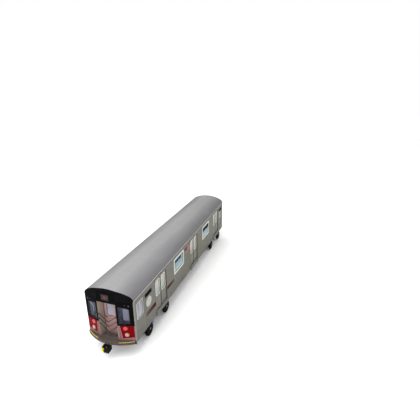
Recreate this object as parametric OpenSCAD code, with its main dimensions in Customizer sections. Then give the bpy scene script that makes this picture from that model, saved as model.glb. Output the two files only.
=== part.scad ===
// Metro car with one driver's cab, on two motor bogies.
// Axes: +X towards the cab end, +Y the car's left side, +Z up, z = 0 at the wheel flanges' lowest point.

/* [Body] */
// Length of the body shell, corner to corner
shell_l = 15040; // [14600:20:15600]
// Width over the side walls
car_w = 2620; // [2580:10:2700]
// Underside of the side sills
sill_z = 870; // [860:5:900]
// Height of the eaves
eave_z = 3190; // [3170:5:3210]
// Height of the roof's crown
crown_z = 3700; // [3690:5:3730]
// Top of the floor
floor_z = 1100; // [1090:2:1110]
// Thickness of a side wall, with its door pockets
wall_t = 100; // [96:1:110]
// How far the front bows out ahead of the corners
nose_bow = 230; // [200:5:250]

/* [Doors] */
// Clear width of a side doorway
door_w = 1370; // [1340:5:1400]
// Top of a side doorway
door_top = 2970; // [2940:5:2990]
// Distance from one doorway's centre to the next
door_pitch = 5095; // [5070:5:5110]
// Centre of the middle doorway along the car
door_mid_x = -455; // [-470:5:-440]
// Thickness of a door leaf
leaf_t = 36; // [30:1:38]
// How far one leaf slides
leaf_travel = 670; // [640:5:675]
// Width of an end doorway
end_door_w = 740; // [720:5:760]

/* [Windows] */
// Width of a large window's opening
win_w = 1480; // [1420:10:1520]
// Bottom of the side windows' openings
win_z0 = 1985; // [1980:5:2010]
// Top of the side windows' openings
win_z1 = 2935; // [2920:5:2950]
// Corner radius of the windows
win_r = 70; // [40:5:100]

/* [Bogies] */
// Position of the front bogie's pivot
front_pivot = 4920; // [4880:10:4960]
// Position of the rear bogie's pivot
rear_pivot = -5745; // [-5790:5:-5700]
// Wheelbase of a bogie
wheelbase = 2040; // [2000:10:2080]
// Radius of a wheel at the tread
wheel_r = 430; // [420:1:432]
// Height of the flange beyond the tread
flange_h = 28; // [26:1:30]
// Distance between the backs of a pair of wheels
back_to_back = 1360; // [1358:1:1362]
// Width of a wheel's rim
rim_w = 135; // [125:1:140]

/* [Couplers] */
// Distance from the car's middle to each coupling plane
coupling_x = 8200; // [8180:5:8240]
// Height of the couplers
coupler_z = 680; // [660:5:690]
// Radius of the rear drawbar's pin hole
drawbar_r = 40; // [35:1:45]

/* [Hidden] */
$fn = 48;
half_l = shell_l/2;
half_w = car_w/2;
end_t = 120;                 // thickness of the end walls at the corners
wall_x = half_l - end_t;     // where a side wall stops
roof_t = 80;
crown_r = 2600;              // roof: crown arc, then a tighter shoulder arc on each side
shoulder_r = 420;
shoulder_a = 25;
nose_x = half_l + nose_bow;  // the nose's foremost plane
nose_y = 480;                // half width of that plane
recess_x = half_l - 50;      // outer plane of the front end door's frame
recess_y = 450;
recess_top = 3030;
axle_z = wheel_r + flange_h;
journal_y = 1020;
front_pin = 6950;             // pivots of the front coupler and of the rear drawbar
rear_pin = -7240;
pocket_l = door_w/2 + leaf_travel + 60;
door_x = [door_mid_x + door_pitch, door_mid_x, door_mid_x - door_pitch];
win_x = [2135, -2960];
leaf_y = half_w - 56;        // middle plane of the leaves
anti_z = 850;                // anticlimber: underside, and its height
anti_h = 145;
anti_bow = 455;              // how far the anticlimber bows out
anti_end = half_l + 15;
anti_w = half_w + 35;
anti_r = (anti_w*anti_w + anti_bow*anti_bow)/(2*anti_bow);

// side windows other than the large ones: [x from, x to, z from, z to]
side_wins = [[6650, 7240, 2000, 2885],      // cab side window
             [-7095, -6605, 2080, 2570]];   // small window by the rear end

function arc(cx, cy, r, a0, a1, n) = [for (i = [0:n]) let (a = a0 + (a1 - a0)*i/n) [cx + r*cos(a), cy + r*sin(a)]];
function rrect(x0, x1, y0, y1, r) = concat(
  arc(x1 - r, y1 - r, r, 0, 90, 4), arc(x0 + r, y1 - r, r, 90, 180, 4),
  arc(x0 + r, y0 + r, r, 180, 270, 4), arc(x1 - r, y0 + r, r, 270, 360, 4));
// half of the roof's outline, from the eave to the crown, moved in by t
function roof_half(t) = let (cz = crown_z - crown_r, sy = (crown_r - shoulder_r)*sin(shoulder_a), sz = cz + (crown_r - shoulder_r)*cos(shoulder_a),
    r2 = shoulder_r - t, a_end = acos(min(1, (half_w - t - sy)/r2)))
  concat(arc(sy, sz, r2, a_end, 90 - shoulder_a, 7), [for (i = [1:9]) let (a = 90 - shoulder_a + shoulder_a*i/9) [(crown_r - t)*cos(a), cz + (crown_r - t)*sin(a)]]);
function mirror_pts(p) = [for (i = [len(p) - 2:-1:0]) [-p[i][0], p[i][1]]];
function body_outline(z0, t) = concat([[half_w - t, z0]], roof_half(t), mirror_pts(roof_half(t)), [[-(half_w - t), z0]]);

// extrudes an outline drawn in (y, z) from x0 to x1
module along_x(x0, x1) { translate([x0, 0, 0]) rotate([90, 0, 90]) linear_extrude(x1 - x0) children(); }
// extrudes an outline drawn in (x, z) from y0 to y1
module along_y(y0, y1) { translate([0, y1, 0]) rotate([90, 0, 0]) linear_extrude(y1 - y0) children(); }
module box(x0, x1, y0, y1, z0, z1) { translate([x0, y0, z0]) cube([x1 - x0, y1 - y0, z1 - z0]); }
module both_sides() { children(); mirror([0, 1, 0]) children(); }

// the floor's plate from end to end
module underframe() { color("dimgray") box(-wall_x, wall_x, -(half_w - wall_t), half_w - wall_t, floor_z - 90, floor_z); }

// side beams and cross joists under the floor
module floor_beams() { color("dimgray") {
  both_sides() box(-wall_x, wall_x, 1150, half_w - wall_t, floor_z - 160, floor_z - 90);
  for (x = [-3100:620:3100]) box(x - 35, x + 35, -1149, 1149, floor_z - 150, floor_z - 90);
} }

// bolster over each bogie, with its centre pin
module bolsters() { color("dimgray") for (x = [front_pivot, rear_pivot]) union() {
  box(x - 300, x + 300, -1149, 1149, floor_z - 115, floor_z - 90);
  translate([x, 0, 540]) cylinder(r = 90, h = floor_z - 115 - 540 + 5);
} }

// headstock that carries each coupler, with the coupler's pivot pin
module headstocks() { color("dimgray") for (x = [front_pin, rear_pin]) union() {
  box(x - 160, x + 150, -320, 320, 860, floor_z - 90);
  translate([x, 0, 550]) cylinder(r = 45, h = 400);
  translate([x, 0, 535]) cylinder(r = 80, h = 35);
} }

module side_wall() { difference() {
  union() {
    box(-wall_x, wall_x, half_w - wall_t, half_w, sill_z, eave_z);
    // step plate under each doorway
    for (x = door_x) along_x(x - door_w/2 - 10, x + door_w/2 + 10) polygon([[half_w - 40, 815], [half_w + 20, 815], [half_w + 38, 850], [half_w + 38, 1060], [half_w + 25, 1078], [half_w - 40, 1078]]);
  }
  for (x = door_x) {
    box(x - door_w/2, x + door_w/2, half_w - wall_t - 10, half_w + 10, floor_z - 10, door_top);
    box(x - pocket_l, x + pocket_l, leaf_y - 26, leaf_y + 26, floor_z - 20, door_top + 25);
  }
  for (x = win_x) along_y(half_w - wall_t - 10, half_w + 10) polygon(rrect(x - win_w/2, x + win_w/2, win_z0, win_z1, win_r));
  for (w = side_wins) along_y(half_w - wall_t - 10, half_w + 10) polygon(rrect(w[0], w[1], w[2], w[3], win_r));
} }
module side_wall_left() { color("silver") side_wall(); }
module side_wall_right() { color("silver") mirror([0, 1, 0]) side_wall(); }

// plan of the roof sheet: its front edge bows out over the cab, grown by g
module roof_plan(g) { polygon([[-half_l - g, -half_w - 10], [half_l - 60 + g, -half_w - 10], [half_l - 60 + g, -half_w], [half_l + 80 + g, -nose_y],
  [half_l + 80 + g, nose_y], [half_l - 60 + g, half_w], [half_l - 60 + g, half_w + 10], [-half_l - g, half_w + 10]]); }
module roof() { color("gray") difference() {
  intersection() {
    along_x(-half_l, half_l + 100) polygon(body_outline(eave_z, 0));
    translate([0, 0, eave_z - 10]) linear_extrude(crown_z - eave_z + 20) roof_plan(0);
  }
  along_x(-half_l - 10, half_l + 110) polygon(concat([[half_w - 110, eave_z - 10]], roof_half(roof_t), mirror_pts(roof_half(roof_t)), [[-(half_w - 110), eave_z - 10]]));
} }

module nose_plan(t) { polygon([[wall_x - (t > 0 ? 10 : 0), -half_w + t], [half_l - t*0.75, -half_w + t], [nose_x - t, -nose_y], [nose_x - t, nose_y],
  [half_l - t*0.75, half_w - t], [wall_x - (t > 0 ? 10 : 0), half_w - t]]); }
// one windscreen's outline in (y, z), grown by g
module screen_shape(g) { polygon([[610 - g, 1985 - g], [1100 + g, 2015 - g], [1100 + g, 2780 + g], [1020 + g, 2825 + g], [610 - g, 2900 + g]]); }
module nose_solid() { intersection() {
  along_x(wall_x, nose_x) polygon(body_outline(sill_z, 0));
  translate([0, 0, sill_z]) linear_extrude(crown_z - sill_z) nose_plan(0);
} }
module cab_front() { color("dimgray") difference() {
  union() {
    difference() {
      nose_solid();
      translate([0, 0, eave_z]) linear_extrude(crown_z) roof_plan(0);     // the roof's place
      translate([0, 0, floor_z]) linear_extrude(3130 - floor_z) nose_plan(70);
    }
    // posts and lintel of the recessed end doorway
    intersection() { nose_solid(); box(wall_x, nose_x + 10, -580, 580, floor_z - 60, 3140); }
  }
  translate([0, 0, 1075]) linear_extrude(recess_top - 1075) polygon([[recess_x, -end_door_w/2], [nose_x + 20, -510], [nose_x + 20, 510], [recess_x, end_door_w/2]]);
  box(wall_x - 20, recess_x + 20, -end_door_w/2, end_door_w/2, floor_z - 5, recess_top - 60);
  both_sides() along_x(half_l - 150, nose_x + 50) screen_shape(0);
} }

module windscreens() { color("slategray") both_sides() intersection() {
  translate([0, 0, 1900]) linear_extrude(1200) polygon([[half_l - 18, half_w + 0], [nose_x - 18, nose_y], [nose_x - 30, nose_y], [half_l - 30, half_w + 0]]);
  along_x(half_l - 150, nose_x + 50) screen_shape(0);
} }

module rear_end() { color("silver") difference() {
  along_x(-half_l, -wall_x) polygon(body_outline(sill_z, 0));
  box(-half_l - 1, -wall_x + 1, -half_w - 10, half_w + 10, eave_z, crown_z + 10);
  box(-half_l - 10, -wall_x + 10, -end_door_w/2, end_door_w/2, floor_z - 5, recess_top - 60);
  both_sides() along_x(-half_l - 10, -wall_x + 10) polygon(rrect(620, 1080, 2000, 2860, 60));
}
  // the end wall's upper part, under the roof sheet
  color("silver") along_x(-wall_x - 90, -wall_x - 40) polygon(concat([[half_w - 112, eave_z]], roof_half(roof_t + 2), mirror_pts(roof_half(roof_t + 2)), [[-(half_w - 112), eave_z]]));
}

module side_glass() { color("lightblue") {
  both_sides() {
    for (x = win_x) along_y(half_w - 20, half_w - 12) polygon(rrect(x - win_w/2, x + win_w/2, win_z0, win_z1, win_r));
    for (w = side_wins) along_y(half_w - 20, half_w - 12) polygon(rrect(w[0], w[1], w[2], w[3], win_r));
    along_x(-half_l + 20, -half_l + 28) polygon(rrect(620, 1080, 2000, 2860, 60));
  }
} }

// plan of the front anticlimber, with its outer edge moved in by t
module anti_plan(t) { difference() {
  intersection() {
    polygon(concat([[half_l - 100, -anti_w - 40], [anti_end - t, -anti_w - 40]], arc(anti_end + anti_bow - anti_r, 0, anti_r - t, -asin((anti_w + 20)/anti_r), asin((anti_w + 20)/anti_r), 26),
      [[anti_end - t, anti_w + 40], [half_l - 100, anti_w + 40]]));
    translate([half_l, -(anti_w - t)]) square([700, 2*(anti_w - t)]);
  }
  polygon([[half_l - 10, -half_w], [half_l, -half_w], [nose_x, -nose_y], [nose_x, nose_y], [half_l, half_w], [half_l - 10, half_w]]);
} }
// ribs standing out between grooves: [height from, height to, how far in]
ribs = [[0, 28, 0], [28, 44, 30], [44, 66, 0], [66, 82, 30], [82, 104, 0], [104, 120, 30], [120, 145, 0]];
module anticlimber() { for (b = ribs) translate([0, 0, anti_z + b[0]]) linear_extrude(b[1] - b[0]) anti_plan(b[2]); }
module rear_anticlimber() { for (b = ribs) box(-half_l - 160 + b[2], -half_l, -1000, 1000, anti_z + b[0], anti_z + b[1]); }
module anticlimbers() { color("dimgray") { union() anticlimber(); union() rear_anticlimber(); } }

// benches between the doors: [x from, x to]
benches = [[470, 3730], [-4630, -1400], [-7340, -6420]];
module bench(b) { along_x(b[0], b[1]) polygon([[half_w - wall_t, 1400], [half_w - wall_t, 1940], [half_w - wall_t - 35, 1955], [half_w - wall_t - 70, 1930],
  [half_w - wall_t - 95, 1570], [half_w - wall_t - 120, 1545], [790, 1560], [760, 1540], [755, 1495], [780, 1470], [900, 1460], [1080, 1400]]); }
module bench_seats() { color("orangered") both_sides() for (b = benches) bench(b); }

module grab_poles() { color("silver") both_sides() for (b = benches) union() {
  for (x = [b[0] - 30 + 60*(b[0] < -7000 ? 1 : 0), (b[0] + b[1])/2, b[1] + 30]) translate([x, 734, floor_z]) cylinder(r = 18, h = 1900);
  translate([b[0] - 48 + 60*(b[0] < -7000 ? 1 : 0), 734, floor_z + 1900]) rotate([0, 90, 0]) cylinder(r = 18, h = b[1] - b[0] + 96 - 60*(b[0] < -7000 ? 1 : 0));
  for (x = [b[0] + 60, b[1] - 60]) translate([x, 734, floor_z + 1900]) cylinder(r = 14, h = 502);
} }

module cab_partition() { color("lightgray") difference() {
  intersection() {
    along_x(6160, 6200) polygon(body_outline(floor_z, roof_t + 6));
    box(6150, 6210, -(half_w - wall_t), half_w - wall_t, floor_z, crown_z);
  }
  both_sides() box(6150, 6210, half_w - 111, half_w, eave_z - 2, crown_z);
  both_sides() along_x(6150, 6210) polygon(rrect(560, 1060, 1950, 2750, 50));
  along_x(6150, 6210) polygon(rrect(-220, 220, 1950, 2750, 50));
} }

module cab_desk() { color("darkslategray") union() {
  along_y(-1190, -590) polygon([[7000, 1540], [7040, 1800], [7360, 1900], [7430, 1900], [7430, floor_z], [7160, floor_z], [7140, 1480]]);
  translate([7120, -860, 1800]) rotate([0, -16, 0]) cylinder(r = 24, h = 150);
} }
module cab_seat() { color("black") union() {
  translate([6700, -860, floor_z]) cylinder(r = 45, h = 420);
  translate([6700, -860, floor_z]) cylinder(r = 160, h = 30);
  along_y(-1080, -640) polygon([[6500, 1530], [6880, 1510], [6930, 1540], [6930, 1590], [6880, 1610], [6590, 1610], [6560, 1640], [6520, 2230], [6490, 2250], [6450, 2230], [6455, 1600]]);
} }

// equipment cases under the floor: [x from, x to, half width, z from]
cases = [[1150, 2850, 930, 480], [-500, 700, 820, 560], [-2950, -1000, 930, 470]];
module underfloor_equipment() { color("darkgray") {
  for (c = cases) box(c[0], c[1], -c[2], c[2], c[3], floor_z - 150);
  // air reservoirs between two of the cases, each with its hanger
  both_sides() union() {
    translate([-955, 540, 760]) rotate([0, 90, 0]) cylinder(r = 150, h = 410);
    box(-655, -585, 470, 610, 880, floor_z - 150);
  }
} }

// destination signs on the sides: [x from, x to, z from, z to]
signs = [[5750, 6400, 2690, 2870], [-7140, -6550, 2700, 2880]];
module destination_signs() { color("black") {
  both_sides() {
    for (s = signs) box(s[0], s[1], half_w, half_w + 9, s[2], s[3]);
    box(-3630, -2330, half_w - 75, half_w - 20, 2530, 2770);
    box(1810, 2710, half_w - 75, half_w - 20, 2650, 2770);
  }
  box(nose_x, nose_x + 25, -200, 200, 3190, 3500);
} }

module headlamps() { color("white") both_sides() {
  // upper lamp red, lower lamp white, in the sloping side of the nose
  for (l = [[870, 1720, 95], [920, 1360, 100]])
    translate([nose_x + 0.02 - (l[0] - nose_y)*nose_bow/(half_w - nose_y), l[0], l[1]]) rotate([0, 0, atan(nose_bow/(half_w - nose_y))]) rotate([0, 90, 0]) cylinder(r = l[2], h = 32);
} }

module front_coupler() { color("black") difference() {
  union() {
    translate([front_pin, 0, coupler_z - 75]) cylinder(r = 120, h = 150);
    translate([front_pin, 0, coupler_z]) rotate([0, 90, 0]) cylinder(r = 70, h = 1050);
    box(7900, coupling_x - 12, -170, 170, coupler_z - 140, coupler_z + 145);
    box(7900, coupling_x, -55, 170, coupler_z - 140, coupler_z + 145);
    box(7960, coupling_x - 30, -135, 135, coupler_z - 215, coupler_z - 130);
  }
  translate([front_pin, 0, coupler_z - 100]) cylinder(r = 52, h = 200);
} }
module coupler_horn() { color("yellow") union() {
  box(coupling_x - 12, coupling_x + 60, -150, -70, coupler_z - 60, coupler_z + 90);
  translate([coupling_x + 5, -110, coupler_z - 20]) rotate([0, 90, 0]) cylinder(r = 34, h = 85);
} }
module rear_drawbar() { color("black") difference() {
  union() {
    translate([rear_pin, 0, coupler_z - 75]) cylinder(r = 120, h = 150);
    translate([-coupling_x + 60, 0, coupler_z]) rotate([0, 90, 0]) cylinder(r = 48, h = coupling_x - 60 + rear_pin);
    translate([-coupling_x, 0, coupler_z - 50]) cylinder(r = 90, h = 100);
  }
  translate([rear_pin, 0, coupler_z - 100]) cylinder(r = 52, h = 200);
  translate([-coupling_x, 0, coupler_z - 100]) cylinder(r = drawbar_r, h = 200);
} }

// one bogie's pieces, about its own pivot
module bogie_frame() { color("black") difference() {
  union() {
    both_sides() {
      along_y(960, 1080) polygon([[-1340, 620], [-1300, 700], [1300, 700], [1340, 620], [1340, 560], [1290, 540], [1290, 300], [1220, 240], [1200, 240], [1200, 590],
        [wheelbase/2 - 180, 590], [wheelbase/2 - 180, 240], [wheelbase/2 - 205, 240], [wheelbase/2 - 275, 300], [wheelbase/2 - 290, 520], [600, 560],
        [-600, 560], [-wheelbase/2 + 290, 520], [-wheelbase/2 + 275, 300], [-wheelbase/2 + 205, 240], [-wheelbase/2 + 180, 240], [-wheelbase/2 + 180, 590],
        [-1200, 590], [-1200, 240], [-1220, 240], [-1290, 300], [-1290, 540], [-1340, 560]]);
    }
    box(-230, 230, -970, 970, 540, 700);
  }
  translate([0, 0, 500]) cylinder(r = 105, h = 300);
} }
module traction_motors() { color("dimgray") for (s = [0, 180]) rotate([0, 0, s]) difference() {
  union() {
    translate([520, -440, 470]) rotate([-90, 0, 0]) cylinder(r = 230, h = 760);
    box(230, 360, -330, 230, 560, 680);
    translate([wheelbase/2, 330, axle_z]) rotate([-90, 0, 0]) cylinder(r = 220, h = 130);
    box(520, wheelbase/2, 330, 460, axle_z - 120, axle_z + 130);
  }
  translate([wheelbase/2, 300, axle_z]) rotate([-90, 0, 0]) cylinder(r = 95, h = 200);
} }
module journal_boxes() { color("black") for (s = [-1, 1], t = [-1, 1]) translate([s*wheelbase/2, 0, axle_z]) difference() {
  union() {
    box(-135, 135, t > 0 ? journal_y - 70 : -journal_y - 120, t > 0 ? journal_y + 120 : -journal_y + 70, -190, 125);
    // round cover over the axle's end, as wide as the running gear
    translate([0, t > 0 ? journal_y + 65 : -journal_y - 175, -43]) rotate([-90, 0, 0]) cylinder(r = 330, h = 110);
    translate([0, t > 0 ? journal_y + 65 : -journal_y - 165, -43]) rotate([-90, 0, 0]) cylinder(r = 355, h = 100);
    translate([0, t > 0 ? journal_y + 170 : -journal_y - 195, 0]) rotate([-90, 0, 0]) cylinder(r = 85, h = 25);
    // rubber spring stacks on both sides, between the box and the frame's legs
    for (x = [-1, 1]) box(x > 0 ? 130 : -180, x > 0 ? 180 : -130, t > 0 ? journal_y - 50 : -journal_y - 50, t > 0 ? journal_y + 50 : -journal_y + 50, -160, 90);
  }
  translate([0, t > 0 ? journal_y - 100 : -journal_y - 90, 0]) rotate([-90, 0, 0]) cylinder(r = 66, h = 190);
} }
module air_springs() { color("black") both_sides() union() {
  box(-260, 260, 860, 1080, 700, 715);
  translate([0, 940, 715]) cylinder(r = 190, h = 30);
  translate([0, 940, 740]) cylinder(r = 240, h = 150);
  translate([0, 940, 885]) cylinder(r = 190, h = 94);
} }
module front_bogie() { translate([front_pivot, 0, 0]) children(); }
module rear_bogie() { translate([rear_pivot, 0, 0]) rotate([0, 0, 180]) children(); }

// one wheel, as a turned section (radius, width): rim with flange, web and hub
module wheel() { rotate_extrude($fn = 96) polygon([[86, -20], [150, -20], [160, 30], [330, 38], [365, 12], [365, 0], [axle_z, 8], [axle_z, 28], [wheel_r + 6, 36], [wheel_r, 50],
  [wheel_r - 4, rim_w], [365, rim_w], [360, 112], [330, 78], [170, 90], [150, 130], [86, 130]]); }
module wheels() { color("dimgray") both_sides() translate([0, back_to_back/2, axle_z]) rotate([-90, 0, 0]) wheel(); }
module axle() { color("gray") translate([0, 0, axle_z]) rotate([-90, 0, 0]) rotate_extrude($fn = 64) polygon([[0, -(journal_y + 80)], [62, -(journal_y + 80)], [62, -(journal_y - 75)], [80, -(journal_y - 90)],
  [80, -830], [86, -820], [86, -640], [80, -600], [80, 600], [86, 640], [86, 820], [80, 830], [80, journal_y - 90], [62, journal_y - 75], [62, journal_y + 80], [0, journal_y + 80]]); }
axle_x = [front_pivot + wheelbase/2, front_pivot - wheelbase/2, rear_pivot + wheelbase/2, rear_pivot - wheelbase/2];

// one leaf of a side door, on the left side: s = 1 is the leaf towards the cab
module side_leaf(i, s) { color("silver") difference() {
  box(s > 0 ? door_x[i] + 3 : door_x[i] - door_w/2 - 12, s > 0 ? door_x[i] + door_w/2 + 12 : door_x[i] - 3, leaf_y - leaf_t/2, leaf_y + leaf_t/2, floor_z, door_top + 12);
  along_y(leaf_y - 40, leaf_y + 40) polygon(rrect(s > 0 ? door_x[i] + 90 : door_x[i] - 560, s > 0 ? door_x[i] + 560 : door_x[i] - 90, 1980, 2870, 100));
} }
module end_leaf(x0, x1) { color("silver") difference() {
  box(x0, x1, -end_door_w/2 + 8, end_door_w/2 - 8, floor_z + 6, recess_top - 68);
  along_x(x0 - 10, x1 + 10) polygon(rrect(-225, 225, 2080, 2800, 50));
} }
module front_end_door() { end_leaf(recess_x - 64, recess_x - 24); }
module rear_end_door() { end_leaf(-half_l + 60, -half_l + 100); }

underframe();
floor_beams();
bolsters();
headstocks();
side_wall_left();
side_wall_right();
roof();
cab_front();
rear_end();
side_glass();
windscreens();
anticlimbers();
bench_seats();
grab_poles();
cab_partition();
cab_desk();
cab_seat();
underfloor_equipment();
destination_signs();
headlamps();
front_coupler();
coupler_horn();
rear_drawbar();
front_bogie() bogie_frame();  // bogie_frame_front
front_bogie() traction_motors();  // traction_motors_front
front_bogie() journal_boxes();  // journal_boxes_front
front_bogie() air_springs();  // air_springs_front
rear_bogie() bogie_frame();  // bogie_frame_rear
rear_bogie() traction_motors();  // traction_motors_rear
rear_bogie() journal_boxes();  // journal_boxes_rear
rear_bogie() air_springs();  // air_springs_rear
for (i = [0:3]) translate([axle_x[i], 0, 0]) {
  wheels();
  axle();
}
front_end_door();
rear_end_door();
for (i = [0:2]) {
  side_leaf(i, 1);
  side_leaf(i, -1);
  mirror([0, 1, 0]) side_leaf(i, 1);
  mirror([0, 1, 0]) side_leaf(i, -1);
}
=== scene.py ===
import bpy, math, random
from mathutils import Vector, Matrix
from mathutils.geometry import tessellate_polygon


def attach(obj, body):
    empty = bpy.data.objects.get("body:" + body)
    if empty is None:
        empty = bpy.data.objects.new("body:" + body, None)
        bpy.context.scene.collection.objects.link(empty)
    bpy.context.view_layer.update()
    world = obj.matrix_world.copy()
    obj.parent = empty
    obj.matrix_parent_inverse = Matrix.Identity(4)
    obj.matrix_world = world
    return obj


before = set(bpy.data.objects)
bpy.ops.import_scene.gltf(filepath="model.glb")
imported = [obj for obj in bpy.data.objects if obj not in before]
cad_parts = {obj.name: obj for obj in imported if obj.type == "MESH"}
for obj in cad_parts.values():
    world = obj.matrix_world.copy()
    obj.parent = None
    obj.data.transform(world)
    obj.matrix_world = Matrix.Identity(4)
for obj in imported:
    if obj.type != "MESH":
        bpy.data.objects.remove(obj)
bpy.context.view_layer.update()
random.seed(7)
SC = bpy.context.scene

# ------------------------------------------------------------------ numbers shared with the car's construction (metres)
HL, HW = 7.52, 1.31
SILL, EAVE, CROWN, FLOOR = 0.87, 3.19, 3.70, 1.10
DOOR_X = (4.64, -0.455, -5.55)
DOOR_TOP = 2.97
NX, NY = 7.75, 0.48              # foremost plane of the nose, half its width
LEAF_Y = 1.254
FX, RX, WB = 4.92, -5.745, 1.02
AXZ = 0.458
WINS = ((2.135, 0.74, 1.985, 2.935), (-2.96, 0.74, 1.985, 2.935))
SMALL = ((6.945, 0.295, 2.0, 2.885), (-6.85, 0.245, 2.08, 2.57))

# ------------------------------------------------------------------ mesh helpers
class Bag:
    """Collects closed shapes into one mesh that rides on one body."""
    def __init__(s, name, mat, body="car_body", slot=None, angle=34):
        s.name, s.mat, s.body, s.slot, s.angle = name, mat, body, slot, angle
        s.v, s.f = [], []
    def add(s, verts, faces):
        o = len(s.v)
        s.v += [tuple(p) for p in verts]
        s.f += [tuple(i + o for i in f) for f in faces]
    def done(s):
        me = bpy.data.meshes.new(s.name)
        me.from_pydata(s.v, [], s.f)
        me.validate()
        for p in me.polygons: p.use_smooth = True
        me.set_sharp_from_angle(angle=math.radians(s.angle))
        me.materials.append(s.mat)
        ob = bpy.data.objects.new(s.name, me)
        SC.collection.objects.link(ob)
        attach(ob, s.body)
        return ob

def rr(x0, x1, y0, y1, r, n=5):
    """Rounded rectangle, counter-clockwise."""
    P = []
    for cx, cy, a in ((x1 - r, y1 - r, 0), (x0 + r, y1 - r, 90), (x0 + r, y0 + r, 180), (x1 - r, y0 + r, 270)):
        for i in range(n + 1):
            t = math.radians(a + 90 * i / n)
            P.append((cx + r * math.cos(t), cy + r * math.sin(t)))
    return P

def circ(cx, cy, r, n=24):
    return [(cx + r * math.cos(2 * math.pi * i / n), cy + r * math.sin(2 * math.pi * i / n)) for i in range(n)]

def area2(P): return sum(P[i - 1][0] * P[i][1] - P[i][0] * P[i - 1][1] for i in range(len(P)))

def inset(P, d):
    """Moves a counter-clockwise outline in by d (a clockwise one out, which is in for the hole's wall)."""
    Q, n = [], len(P)
    for i in range(n):
        a, b, c = Vector(P[i - 1]), Vector(P[i]), Vector(P[(i + 1) % n])
        e1, e2 = (b - a), (c - b)
        if e1.length < 1e-9 or e2.length < 1e-9: Q.append(tuple(b)); continue
        e1.normalize(); e2.normalize()
        n1, n2 = Vector((-e1.y, e1.x)), Vector((-e2.y, e2.x))
        k = 1 + n1.dot(n2)
        Q.append(tuple(b + (n1 + n2) * (d / max(k, 0.35))))
    return Q

def plate(bag, outer, holes=(), o=(0, 0, 0), ux=(1, 0, 0), uy=(0, 0, 1), t=0.004, bev=0.0, base=0.0, fn=None):
    """A flat plate with holes and a chamfered front edge. Its outline is in (u, v); it stands out along ux x uy."""
    o, ux, uy = Vector(o), Vector(ux).normalized(), Vector(uy).normalized()
    nz = ux.cross(uy)
    if fn is None:
        fn = lambda u, v, w: o + ux * u + uy * v + nz * w
    loops = [list(outer) if area2(outer) > 0 else list(outer)[::-1]]
    for h in holes: loops.append(list(h) if area2(h) < 0 else list(h)[::-1])
    bev = min(bev, t * 0.95)
    levels = [(base, 0.0), (base + t - bev, 0.0)] + ([(base + t, bev)] if bev > 0 else [])
    V, F, idx = [], [], []
    for L in loops:
        rings = []
        for w, d in levels:
            R = inset(L, d) if d else L
            rings.append(list(range(len(V), len(V) + len(R))))
            V += [fn(u, v, w) for u, v in R]
        idx.append(rings)
        for a, b in zip(rings[:-1], rings[1:]):
            n = len(a)
            for i in range(n):
                F.append((a[i], a[(i + 1) % n], b[(i + 1) % n], b[i]))
    for lev, flip in ((-1, False), (0, True)):
        d = levels[lev][1]
        pts, ids = [], []
        for L, rings in zip(loops, idx):
            R = inset(L, d) if d else L
            pts.append([Vector((u, v, 0)) for u, v in R]); ids += rings[lev]
        for tri in tessellate_polygon(pts):
            a, b, c = (ids[i] for i in tri)
            flat = [p for l in pts for p in l]
            s = (flat[tri[1]] - flat[tri[0]]).cross(flat[tri[2]] - flat[tri[0]]).z
            if abs(s) < 1e-14: continue
            up = s > 0
            F.append((a, b, c) if up != flip else (a, c, b))
    bag.add(V, F)

def lathe(bag, prof, o=(0, 0, 0), axis=(0, 0, 1), n=24, arc=None):
    """Turns a profile of (radius, height) about an axis through o. The profile starts and ends on the axis or is closed by caps."""
    o, az = Vector(o), Vector(axis).normalized()
    ax = az.orthogonal().normalized(); ay = az.cross(ax)
    V, F = [], []
    for r, h in prof:
        for i in range(n):
            t = 2 * math.pi * i / n
            V.append(o + az * h + (ax * math.cos(t) + ay * math.sin(t)) * max(r, 0.0))
    for k in range(len(prof) - 1):
        for i in range(n):
            j = (i + 1) % n
            F.append((k * n + i, k * n + j, (k + 1) * n + j, (k + 1) * n + i))
    F.append(tuple(range(n))[::-1]); m = (len(prof) - 1) * n
    F.append(tuple(m + i for i in range(n)))
    bag.add(V, F)

def cyl(bag, o, axis, r, h, n=20, c=None):
    """A cylinder with chamfered ends."""
    c = min(r, h) * 0.12 if c is None else c
    lathe(bag, [(r - c, 0), (r, c), (r, h - c), (r - c, h)], o, axis, n)

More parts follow.
